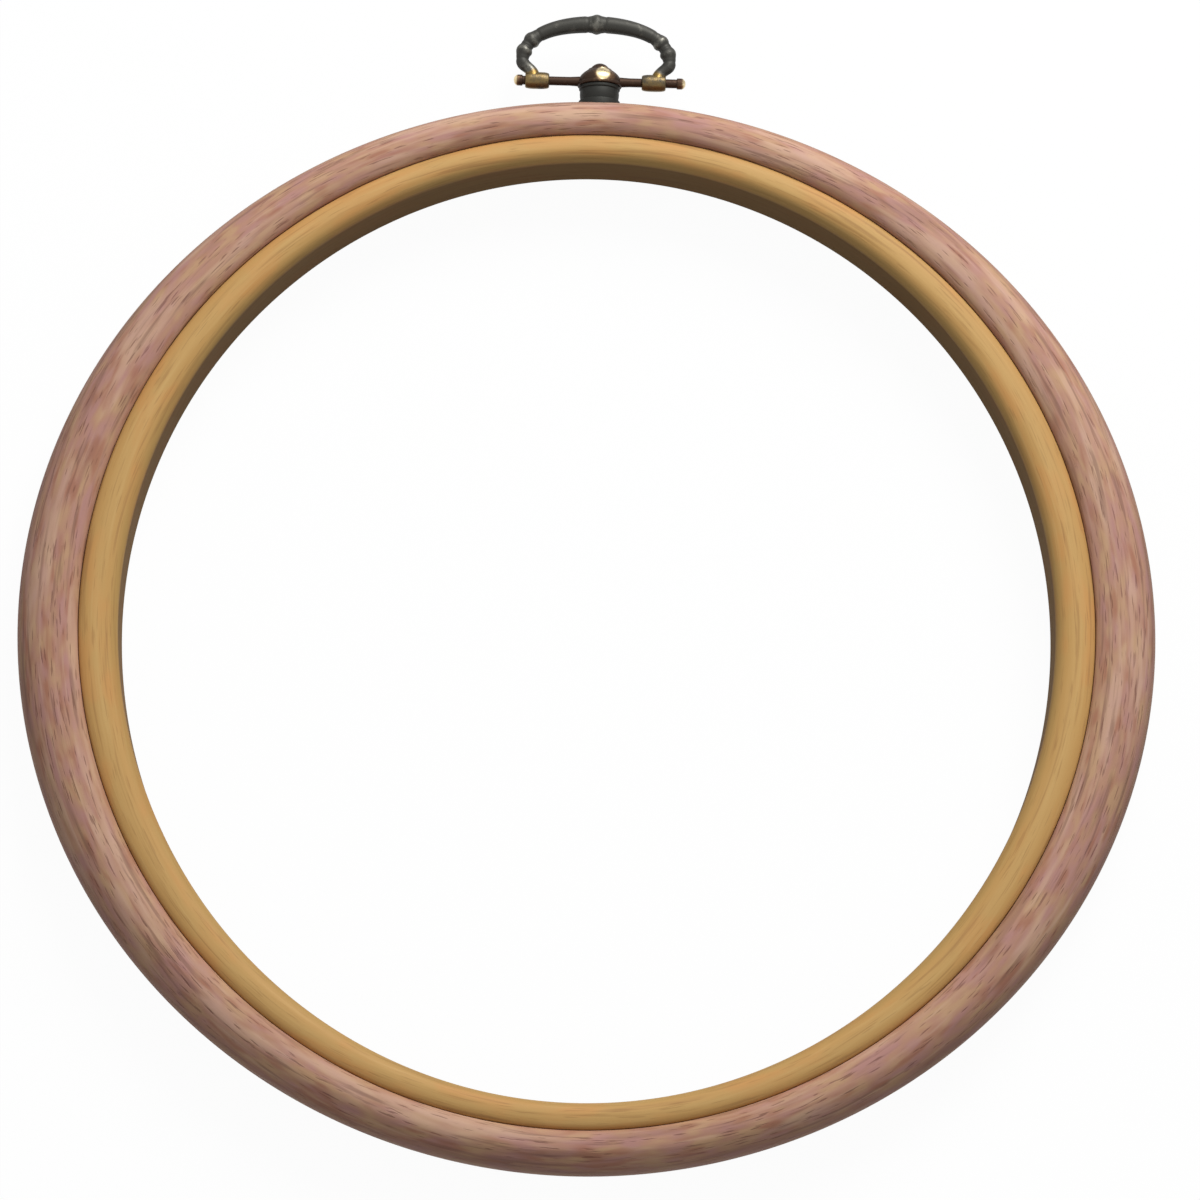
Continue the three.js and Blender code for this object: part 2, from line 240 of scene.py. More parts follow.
def bake_modifiers(made: bpy.types.Object) -> None:
    """Replaces a mesh by what its modifiers make of it, shaded smooth between sharp edges.

    Args:
        made: the object whose modifiers are used up.
    """
    bpy.context.view_layer.update()
    graph = bpy.context.evaluated_depsgraph_get()
    finished = bpy.data.meshes.new_from_object(
        made.evaluated_get(graph), preserve_all_data_layers=True, depsgraph=graph
    )
    made.modifiers.clear()
    plain = made.data
    made.data = finished
    bpy.data.meshes.remove(plain)
    finished.name = made.name
    finished.polygons.foreach_set("use_smooth", np.ones(len(finished.polygons), dtype=bool))
    finished.set_sharp_from_angle(angle=SHARP_ANGLE)


def combine(body: bpy.types.Object, tools: Sequence[bpy.types.Object], how: Joining) -> None:
    """Joins solids to a body, or cuts them out of it, and deletes them.

    Args:
        body: the solid that is kept.
        tools: the solids that are used up.
        how: whether they are joined or cut.
    """
    for tool in tools:
        change = body.modifiers.new(tool.name, "BOOLEAN")
        change.operation = how.value
        change.solver = "EXACT"
        change.object = tool
        bake_modifiers(body)
        mesh = tool.data
        bpy.data.objects.remove(tool)
        bpy.data.meshes.remove(mesh)


def mark_wear_and_highlight(made: bpy.types.Object, wear: Callable[[np.ndarray], np.ndarray]) -> None:
    """Keeps the share of wear and painted highlight at each point of a finished mesh as an attribute
    of its points.

    Args:
        made: the piece.
        wear: gives the shares of wear and painted highlight for rows of places.
    """
    mesh = made.data
    places = np.empty((len(mesh.vertices), 3), dtype=np.float32)
    mesh.vertices.foreach_get("co", places.ravel())
    attribute = mesh.attributes.new("wear_and_highlight", "FLOAT", "POINT")
    attribute.data.foreach_set("value", wear(places).astype(np.float32))


def turned(stretches: Sequence[ArrayLike], axis: Axis, centre: Vector, sides: int) -> Surface:
    """A profile turned about a line: its first value is the distance from the line, which goes
    round by sine and cosine, and its second value is the place along the line.

    Args:
        stretches: the profile in parts, each a point or rows of points of radius and place. It
            runs from pole to pole, or once round a closed loop if it starts off the line.
        axis: direction of the line.
        centre: a point of the line, which the places along it are measured from.
        sides: number of columns round the line.

    Returns:
        The turned surface.
    """
    angles = np.linspace(0, 2 * math.pi, sides, endpoint=False)
    profile = np.concatenate([np.atleast_2d(part) for part in stretches])
    radius = profile[:, :1]
    across = radius * np.cos(angles)
    upward = radius * np.sin(angles)
    along = np.broadcast_to(profile[:, 1:], across.shape)
    parts = (along, across, upward) if axis is Axis.ALONG_X else (across, along, upward)
    is_loop = bool(profile[0, 0] > 0)
    return Surface(np.stack(parts, axis=-1) + np.array(centre), rows_close=is_loop)


def plug(
    name: str, axis: Axis, centre: Vector, radius: float, ends: tuple[float, float], sides: int
) -> bpy.types.Object:
    """A cylinder that cuts a round hole.

    Args:
        name: name of the tool.
        axis: direction of the hole.
        centre: a point of its axis, which its ends are measured from.
        radius: radius of the hole.
        ends: places of the cylinder's ends along the axis.
        sides: number of columns round it.

    Returns:
        The solid to cut with.
    """
    profile = [(0, ends[0]), (radius, ends[0]), (radius, ends[1]), (0, ends[1])]
    return turned(profile, axis, centre, sides).build(name)


@dataclass(frozen=True)
class Places:
    """Where things are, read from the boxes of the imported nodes."""

    centre: Vector  # middle of both rings, on the table
    fit_radius: float  # outer wall of the inner ring
    cavity_radius: float  # inner wall of the outer ring
    inner_depth: float  # height of the inner ring
    outer_half: tuple[float, float]  # half widths of the outer ring along X and Y
    outer_depth: float  # height of the outer ring
    pivot: Vector  # middle of the crossbar's axis
    bar_half: float  # half length of the bar between the end caps

    @classmethod
    def from_frame(cls, flange: float, clearance: float, cap_length: float) -> Places:
        """Works the places out.

        Args:
            flange: width of the lip behind the inner ring.
            clearance: gap between the rings.
            cap_length: length of an end cap of the crossbar.

        Returns:
            The places of this frame.
        """
        inner_low, inner_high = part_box("inner_ring")
        outer_low, outer_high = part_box("outer_ring")
        cap_low, cap_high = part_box("right_end_cap")
        fit_radius = (inner_high.x - inner_low.x) / 2 - flange
        outer_half = (outer_high - outer_low) / 2
        middle = (inner_low + inner_high) / 2
        cap_middle = (cap_low + cap_high) / 2
        return cls(
            centre=Vector((middle.x, middle.y, inner_low.z)),
            fit_radius=fit_radius,
            cavity_radius=fit_radius + clearance,
            inner_depth=inner_high.z - inner_low.z,
            outer_half=(outer_half.x, outer_half.y),
            outer_depth=outer_high.z - outer_low.z,
            pivot=Vector((middle.x, cap_middle.y, cap_middle.z)),
            bar_half=cap_high.x - cap_length,
        )


Input = Union["Wire", bpy.types.NodeSocket, float, int, str, Sequence[float]]


def math_method(operation: str, swapped: bool = False) -> Callable[[Wire, Input], Wire]:
    """Makes the method behind one of Python's operators on wires.

    Args:
        operation: Blender's name of what the Math node does.
        swapped: whether the wire is the second term, as in a reflected operator.

    Returns:
        A method that adds one Math node and gives its result.
    """

    def method(wire: Wire, other: Input) -> Wire:
        """Adds the node."""
        terms = (other, wire) if swapped else (wire, other)
        return wire.book.node("ShaderNodeMath", {"operation": operation}, dict(enumerate(terms)))

    return method


class Wire:
    """A number that runs between nodes. Python's operators on it add Math nodes."""

    def __init__(self, book: NodeBook, socket: bpy.types.NodeSocket) -> None:
        """Wraps an output socket of a node in the book."""
        self.book = book
        self.socket = socket

    __add__, __radd__ = math_method("ADD"), math_method("ADD", swapped=True)
    __sub__, __rsub__ = math_method("SUBTRACT"), math_method("SUBTRACT", swapped=True)
    __mul__, __rmul__ = math_method("MULTIPLY"), math_method("MULTIPLY", swapped=True)
    __truediv__, __rtruediv__ = math_method("DIVIDE"), math_method("DIVIDE", swapped=True)
    __pow__, __rpow__ = math_method("POWER"), math_method("POWER", swapped=True)
    highest = math_method("MAXIMUM")

    def rise(self, low: float, high: float) -> Wire:
        """Goes smoothly from 0 where the number is low to 1 where it is high.

        Args:
            low: number at which the result is 0.
            high: number at which the result is 1; it may be the smaller of the two.

        Returns:
            The smooth step.
        """
        inverted = low > high
        ends = {"From Min": min(low, high), "From Max": max(low, high)}
        step = self.book.node(
            "ShaderNodeMapRange", {"interpolation_type": "SMOOTHSTEP"}, {"Value": self, **ends}
        )
        return 1 - step if inverted else step


class NodeBook:
    """The node tree of one material or world, with one way to add a node."""

    def __init__(self, tree: bpy.types.NodeTree) -> None:
        """Starts with an empty tree."""
        self.tree = tree
        tree.nodes.clear()

    def raw(
        self,
        kind: str,
        settings: Mapping[str, object] | None = None,
        inputs: Mapping[int | str, Input] | None = None,
    ) -> bpy.types.Node:
        """Adds a node.

        Args:
            kind: Blender's name of the node type.
            settings: properties that are set first.
            inputs: a value or a link for each named or numbered socket.

        Returns:
            The node.
        """
        node = self.tree.nodes.new(kind)
        for key, value in (settings or {}).items():
            setattr(node, key, value)
        for key, value in (inputs or {}).items():
            socket = node.inputs[key]
            if isinstance(value, Wire):
                value = value.socket
            if isinstance(value, bpy.types.NodeSocket):
                self.tree.links.new(value, socket)
            else:
                socket.default_value = value
        return node

    def node(
        self,
        kind: str,
        settings: Mapping[str, object] | None = None,
        inputs: Mapping[int | str, Input] | None = None,
        output: int | str = 0,
    ) -> Wire:
        """Adds a node as raw does, and gives one of its outputs as a wire."""
        return Wire(self, self.raw(kind, settings, inputs).outputs[output])

    def paint(self, base: Input, layers: Sequence[tuple[Input, Wire]]) -> Input:
        """Lays colours over a base, one after another.

        Args:
            base: the colour underneath.
            layers: each colour with its share, from 0 where it is absent to 1 where it covers.

        Returns:
            The colour of the whole.
        """
        for colour, share in layers:
            inputs = {0: share, 6: base, 7: colour}
            base = self.node("ShaderNodeMix", {"data_type": "RGBA"}, inputs, output=2)
        return base

    def noise(self, place: Input, size: float, detail: float, fourth: Input) -> Wire:
        """Noise whose lumps measure about a size, the same in each direction.

        Args:
            place: the coordinates that it is read at.
            size: width of its lumps.
            detail: how many finer layers it has.
            fourth: its fourth coordinate, which leads to another part of the pattern.

        Returns:
            The noise, from 0 to 1 with most of it near one half.
        """
        return self.node(
            "ShaderNodeTexNoise",
            {"noise_dimensions": "4D"},
            {"Vector": place, "W": fourth, "Scale": 1 / size, "Detail": detail},
        )

    def principled(
        self,
        colour: Input,
        inputs: Mapping[str, Input],
        relief: Wire,
        strength: float,
        depth: float,
    ) -> None:
        """Ends a material with a Principled shader that has a relief on it.

        Args:
            colour: its base colour.
            inputs: values and links of its other sockets.
            relief: height of the relief, as a share of its depth.
            strength: how much of the relief shows.
            depth: its real depth.
        """
        bumps = {"Strength": strength, "Distance": depth, "Height": relief}
        bump = self.node("ShaderNodeBump", inputs=bumps)
        whole = {"Base Color": colour, "Normal": bump, **inputs}
        self.finish(self.node("ShaderNodeBsdfPrincipled", inputs=whole))

    def finish(self, shader: Wire, output: str = "ShaderNodeOutputMaterial") -> None:
        """Sends a shader to the output of the material, or of the world."""
        self.raw(output, inputs={"Surface": shader})


def new_material(name: str) -> tuple[bpy.types.Material, NodeBook]:
    """Makes an empty material.

    Args:
        name: its name.

    Returns:
        The material and the book of its nodes.
    """
    material = bpy.data.materials.new(name)
    material.use_nodes = True
    return material, NodeBook(material.node_tree)


@dataclass(frozen=True)
class RingGrain:
    """Patterns that run with a ring, long round it and narrow across its section.

    A point is read by its direction from the ring's centre, by its distance from the centre and
    by its height, so that a pattern has no seam anywhere.
    """

    book: NodeBook  # the node tree that the patterns are added to
    radius: float  # radius at which lengths along the ring are measured
    cosine: Wire  # cosine of the point's direction
    sine: Wire  # sine of the point's direction
    distance: Wire  # distance of the point from the ring's centre
    height: Wire  # height of the point above the table

    @classmethod
    def about(cls, book: NodeBook, centre: Vector, radius: float) -> RingGrain:
        """Reads the point's place about a centre.

        Args:
            book: the node tree that the nodes are added to.
            centre: middle of the ring, on the table.
            radius: radius at which lengths along the ring are measured.

        Returns:
            The grain of that ring.
        """
        place = book.node("ShaderNodeTexCoord", output="Object")
        centred = book.node(
            "ShaderNodeMapping", {"vector_type": "POINT"}, {0: place, "Location": -centre}
        )
        split = book.raw("ShaderNodeSeparateXYZ", inputs={0: centred})
        x, y, z = (Wire(book, output) for output in split.outputs)
        distance = (x * x + y * y) ** 0.5
        return cls(book, radius, x / distance, y / distance, distance, z)

    def ellipse(self, half: tuple[float, float]) -> Wire:
        """Distance from the centre to an ellipse in the point's direction, as ellipse_radius."""
        first, second = self.sine * half[0], self.cosine * half[1]
        return half[0] * half[1] / (first * first + second * second) ** 0.5

    def streaks(
        self,
        length: float,
        width: float,
        detail: float,
        seed: float,
        bend: Input = 0.0,
    ) -> Wire:
        """Noise stretched along the ring.

        Args:
            length: length of a streak along the ring.
            width: width of a streak across the section.
            detail: how many finer layers it has.
            seed: moves to another part of the pattern.
            bend: how far the streaks are moved across the section, in metres.

        Returns:
            The noise, from 0 to 1 with most of it near one half.
        """
        turns = self.radius / length
        across = (self.distance + bend) / width
        first, second = self.cosine * turns + seed, self.sine * turns
        place = self.book.node("ShaderNodeCombineXYZ", inputs={0: first, 1: second, 2: across})
        return self.book.noise(place, 1.0, detail, (self.height + bend) / width)


@dataclass(frozen=True)
class WoodLookVinyl:
    """Soft rose-brown vinyl with a printed and embossed wood grain."""

    centre: Vector  # middle of the ring that wears it
    radius: float  # wall of the ring's cavity, beside which the edge is painted browner as shade in the groove between the rings
    outer_half: tuple[float, float]  # half widths of the ring's outline
    rose: Colour = srgb(182, 138, 116)  # its main colour
    mauve: Colour = srgb(180, 134, 126)  # cooler patches
    tan: Colour = srgb(190, 152, 118)  # yellower patches
    russet: Colour = srgb(164, 112, 90)  # redder patches
    pale: Colour = srgb(208, 172, 148)  # pale streaks
    umber: Colour = srgb(122, 88, 74)  # dark streaks, and painted shade on the rim's outer flank
    fleck: Colour = srgb(106, 68, 56)  # short pores
    edge: Colour = srgb(172, 130, 96)  # painted shade beside the cloth, in the groove between the rings

    def material(self) -> bpy.types.Material:
        """Builds the material: patches of rose, mauve, tan and russet under pale and dark streaks
        and short dark pores, with painted brown shade beside the cloth, in the groove between the
        rings, and on the rim's outer flank.

        Returns:
            The material.
        """
        material, book = new_material("wood_look_vinyl")
        grain = RingGrain.about(book, self.centre, self.radius)
        bend = (grain.streaks(38 * MM, 9 * MM, 1.0, seed=3.0) - 0.5) * (2.4 * MM)
        patches = grain.streaks(4.5 * MM, 1.6 * MM, 1.0, seed=11.0)
        warm = grain.streaks(5.0 * MM, 1.3 * MM, 1.0, seed=23.0)
        veins = grain.streaks(15 * MM, 0.75 * MM, 3.0, seed=31.0, bend=bend)
        broad = grain.streaks(17 * MM, 2.2 * MM, 2.0, seed=47.0, bend=bend)
        pores = grain.streaks(3.2 * MM, 0.26 * MM, 1.0, seed=59.0, bend=bend)
        # mask of the painted shade in the groove beside the cloth
        groove_shade = grain.distance.rise(self.radius + 1.6 * MM, self.radius + 0.3 * MM)
        # mask of the painted shade on the rim's outer flank
        rim_shade = (grain.ellipse(self.outer_half) - grain.distance).rise(1.6 * MM, 0.2 * MM)
        layers = [
            (self.mauve, patches.rise(0.46, 0.7) * 0.9),
            (self.tan, patches.rise(0.52, 0.3) * 0.9),
            (self.russet, warm.rise(0.5, 0.72) * 0.8),
            (self.pale, broad.rise(0.5, 0.68) * 0.6),
            (self.umber, broad.rise(0.44, 0.3) * 0.35),
            (self.pale, veins.rise(0.56, 0.72) * 0.4),
            (self.umber, veins.rise(0.46, 0.32) * 0.55),
            (self.fleck, pores.rise(0.61, 0.7) * 0.55),
            # painted shade in the groove beside the cloth
            (self.edge, groove_shade * 0.25),
            # painted shade on the rim's outer flank
            (self.umber, rim_shade * 0.45),
        ]
        relief = veins * 0.6 + broad * 0.3 - pores.rise(0.6, 0.7) * 0.5
        colour = book.paint(self.rose, layers)
        inputs = {"Roughness": 0.5 + veins * 0.2, "Specular IOR Level": 0.18}
        book.principled(colour, inputs, relief, strength=0.6, depth=0.12 * MM)
        return material


@dataclass(frozen=True)
class OchrePlastic:
    """Hard ochre plastic, drawn along the ring in fine satin streaks."""

    centre: Vector  # middle of the ring that wears it
    radius: float  # outer wall of the ring
    opening_half: tuple[float, float]  # half widths of the ring's opening
    depth: float  # height of the ring
    nose_rise: float  # height of its rounded front
    ochre: Colour = srgb(194, 152, 92)  # its main colour
    honey: Colour = srgb(200, 148, 88)  # warmer patches
    straw: Colour = srgb(208, 172, 112)  # pale streaks, and a painted highlight along the crest
    olive: Colour = srgb(164, 134, 80)  # painted shade on the rounded side towards the opening
    toffee: Colour = srgb(152, 110, 68)  # dark streaks, and painted shade in the groove towards the outer ring
    shade: Colour = srgb(96, 72, 46)  # painted shade down the wall of the opening

    def material(self) -> bpy.types.Material:
        """Builds the material: ochre and honey streaks, a painted straw highlight along the crest,
        painted olive shade towards the opening, painted brown shade towards the outer ring, and
        painted dark shade down the opening's wall.

        Returns:
            The material.
        """
        material, book = new_material("ochre_plastic")
        grain = RingGrain.about(book, self.centre, self.radius)
        wall = grain.ellipse(self.opening_half)
        share = (grain.distance - wall) / (self.radius - wall)
        bend = (grain.streaks(30 * MM, 8 * MM, 1.0, seed=5.0) - 0.5) * (1.6 * MM)
        patches = grain.streaks(10 * MM, 4 * MM, 2.0, seed=13.0)
        veins = grain.streaks(18 * MM, 0.6 * MM, 3.0, seed=29.0, bend=bend)
        fine = grain.streaks(5 * MM, 0.24 * MM, 1.0, seed=37.0, bend=bend)
        nose_base = self.depth - self.nose_rise
        front = grain.height.rise(nose_base, self.depth - self.nose_rise * 0.5)
        # the crest mask carries a painted highlight along the middle of the nose
        crest = share.rise(0.3, 0.5) * share.rise(0.85, 0.6) * front
        # the inward mask carries painted shade on the nose's rounded side towards the opening
        inward = share.rise(0.3, 0.06) * front
        # the groove mask carries painted shade in the crease beside the outer ring
        groove = share.rise(0.8, 0.98)
        below_nose = grain.height.rise(nose_base + 0.9 * MM, nose_base - 0.6 * MM)
        # the down mask carries painted shade on the wall of the opening
        down = share.rise(0.12, 0.02) * below_nose
        layers = [
            (self.honey, patches.rise(0.48, 0.62) * 0.8),
            # painted highlight along the crest of the nose
            (self.straw, crest * (0.1 + veins * 0.5)),
            (self.straw, veins.rise(0.54, 0.7) * 0.35),
            (self.toffee, veins.rise(0.46, 0.3) * 0.5),
            (self.toffee, fine.rise(0.6, 0.7) * 0.35),
            # painted shade on the nose's rounded side towards the opening
            (self.olive, inward * 0.5),
            # painted shade in the groove beside the outer ring
            (self.toffee, groove * 0.1),
            # painted shade down the wall of the opening
            (self.shade, down * 0.8),
        ]
        colour = book.paint(self.ochre, layers)
        relief = veins + fine * 0.5
        inputs = {"Roughness": 0.52 + down * 0.25 + fine * 0.1, "Specular IOR Level": 0.2}
        book.principled(colour, inputs, relief, strength=0.4, depth=0.08 * MM)
        return material


@dataclass(frozen=True)
class AgedMetal:
    """Plated metal whose patina wears off where hands and cloth rub it, with painted highlights on
    spots that the mesh marks.
    """

    name: str  # name of the material
    bright: Colour  # colour of its rubbed high spots and of its painted highlights, which the mesh marks
    bare: Colour  # colour of the metal elsewhere, where it is rubbed
    patina: Colour  # colour of the film that darkens the rest
    rubbed: float  # share of the surface, apart from high spots, on which bare metal shows
    roughness: float  # roughness of the bare metal

    def material(self) -> bpy.types.Material:
        """Builds the material: patina under cloudy wear, bright on the rubbed high spots and painted
        highlights that the mesh marks, with fine scratches and pits.

        Returns:
            The material.
        """
        material, book = new_material(self.name)
        place = book.node("ShaderNodeTexCoord", output="Object")
        # this attribute holds rubbed wear and painted highlights from the mesh
        wear_and_highlight = book.node("ShaderNodeAttribute", {"attribute_name": "wear_and_highlight"}, output="Fac")
        clouds = book.noise(place, 1.6 * MM, 3.0, fourth=2.0)
        specks = book.noise(place, 0.25 * MM, 2.0, fourth=7.0)
        threshold = 0.62 - self.rubbed * 0.3
        wear = (clouds * 0.75 + specks * 0.25 + wear_and_highlight * 0.45).rise(threshold, threshold + 0.28)
        pits = specks.rise(0.62, 0.72)
        metal = book.paint(self.bare, [(self.bright, wear_and_highlight.rise(0.42, 0.6))])
        colour = book.paint(self.patina, [(metal, wear), (self.patina, pits * 0.7)])
        relief = clouds * 0.5 + wear * 0.3 - pits * 0.6
        roughness = (self.roughness + 0.22) - wear * 0.2 + pits * 0.2
        inputs = {"Metallic": 0.78 + wear * 0.2, "Roughness": roughness}
        book.principled(colour, inputs, relief, strength=0.35, depth=0.06 * MM)
        return material


def place_piece(
    made: bpy.types.Object, material: bpy.types.Material, body: str, node: str
) -> None:
    """Dresses a piece, lets it ride on its body and stand for its node.

    Args:
        made: the piece.
        material: its finish.
        body: the body that carries it.
        node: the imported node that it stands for.
    """
    made.data.materials.clear()
    made.data.materials.append(material)
    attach(made, body)
    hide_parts(node)
    faces = len(made.data.polygons)
    LOG.info("%s: %d faces, rides on %s, stands for %s", made.name, faces, body, node)


@dataclass
class Rings:
    """The two rings that hold the cloth."""

    places: Places  # places read from the frame
    steps: int = 720  # columns round each ring
    inner_side_width: float = 5.9 * MM  # width of the inner ring's band at the two sides
    inner_top_width: float = 4.1 * MM  # its width at the top and bottom
    nose_rise: float = 1.9 * MM  # height of its rounded front towards the opening
    nose_shoulder: float = 1.0 * MM  # height of its rounded front towards the outer ring
    flange: float = 1.6 * MM  # width and thickness of the lip behind it
    clearance: float = 0.08 * MM  # gap between the rings, which nearly touch as no cloth is held
    back_round: float = 0.7 * MM  # radius of its inner back edge
    # width of the outer ring's round edge beside the cloth, as a share of its band
    mouth_share: float = 0.34
    mouth_drop: float = 1.4 * MM  # height of that edge
    crown_land: float = 0.3 * MM  # flat stretch of the outer ring's crown
    back_land: float = 1.2 * MM  # flat stretch that lies on the table
    edge_round: float = 0.22 * MM  # radius of the moulded corners

    def __post_init__(self) -> None:
        """Sets the angles that both rings are built on, and the half widths of the opening."""
        self.angles = np.linspace(0, 2 * math.pi, self.steps, endpoint=False)
        fit = self.places.fit_radius
        self.opening_half = (fit - self.inner_side_width, fit - self.inner_top_width)

    def _ring(self, stretches: Sequence[np.ndarray]) -> Surface:
        """Carries a section round the centre: distance by cosine and sine of each angle.

        Args:
            stretches: parts of the section in order, each of angles by points by distance and
                height, or of points alone where it is the same all round.

        Returns:
            The closed surface.
        """
        whole = [np.broadcast_to(part, (self.steps, *part.shape[-2:])) for part in stretches]
        section = np.concatenate(whole, axis=1)
        distance, height = section[..., 0], section[..., 1]
        angle = self.angles[:, None]
        parts = (distance * np.cos(angle), distance * np.sin(angle), height)
        return Surface(np.stack(parts, axis=-1) + np.array(self.places.centre), rows_close=True)

    def inner(self) -> Surface:
        """The inner ring: a nose of two quarter ellipses, the one towards the outer ring flatter,
        on a wall whose opening is an ellipse, over a lip at the back with small round corners.

        Returns:
            The ring's surface.
        """
        fit, edge, depth = self.places.fit_radius, self.edge_round, self.places.inner_depth
        back = (self.back_round,) * 2
        lip = fit + self.flange - edge
        wall = ellipse_radius(self.opening_half, self.angles)[:, None]
        half_band = (fit - wall) / 2
        crest = wall + half_band
        wall_top, fit_top = depth - self.nose_rise, depth - self.nose_shoulder
        heights = line((0, wall_top), (0, self.back_round), 8)[:, 1]
        return self._ring(
            [
                arc((wall + self.back_round, self.back_round), back, 180, 270, 6),
                arc((lip, edge), (edge, edge), 270, 360),
                arc((lip, self.flange - edge), (edge, edge), 0, 90),
                arc((fit + edge, self.flange + edge), (edge, edge), 270, 180),
                line((fit, self.flange + edge), (fit, fit_top), 4),
                arc((crest, fit_top), (half_band, self.nose_shoulder), 0, 90, 20),
                arc((crest, wall_top), (half_band, self.nose_rise), 90, 180, 24)[:, 1:],
                np.stack(np.broadcast_arrays(wall, heights), axis=-1),
            ]
        )

    def outer(self) -> Surface:
        """The outer ring: a D section of two quarter ellipses that meet at mid-depth, with a round
        mouth beside the cloth and a notch at the back for the inner ring's lip.

        Returns:
            The ring's surface.
        """
        cavity, edge = self.places.cavity_radius, self.edge_round
        depth = self.places.outer_depth
        middle = depth / 2
        notch = cavity + self.flange
        land_end = notch + self.back_land
        rim = ellipse_radius(self.places.outer_half, self.angles)[:, None]
        mouth_width = self.mouth_share * (rim - cavity)
        mouth_base = depth - self.mouth_drop
        crown_end = cavity + mouth_width + self.crown_land
        return self._ring(
            [
                arc((land_end, middle), (rim - land_end, middle), 270, 360, 24),
                arc((crown_end, middle), (rim - crown_end, middle), 0, 90, 32)[:, 1:],
                arc((cavity + mouth_width, mouth_base), (mouth_width, self.mouth_drop), 90, 180, 16),
                line((cavity, mouth_base), (cavity, self.flange + edge), 5),
                arc((cavity + edge, self.flange + edge), (edge, edge), 180, 270),
                arc((notch - edge, self.flange - edge), (edge, edge), 90, 0),
                arc((notch + edge, edge), (edge, edge), 180, 270),
            ]
        )

    def dress(self, hanger_way: bpy.types.Object) -> None:
        """Builds both rings, cuts the hanger's way through the outer one and dresses them.

        Args:
            hanger_way: the solid that is cut out of the outer ring.
        """
        places = self.places
        ochre = OchrePlastic(
            places.centre, places.fit_radius, self.opening_half, places.inner_depth, self.nose_rise
        )
        vinyl = WoodLookVinyl(places.centre, places.cavity_radius, places.outer_half)
        inner = self.inner().build("ochre_inner_ring")
        outer = self.outer().build("wood_look_outer_ring")
        combine(outer, [hanger_way], Joining.CUT)
        place_piece(inner, ochre.material(), "inner", "inner_ring")
        place_piece(outer, vinyl.material(), "outer", "outer_ring")


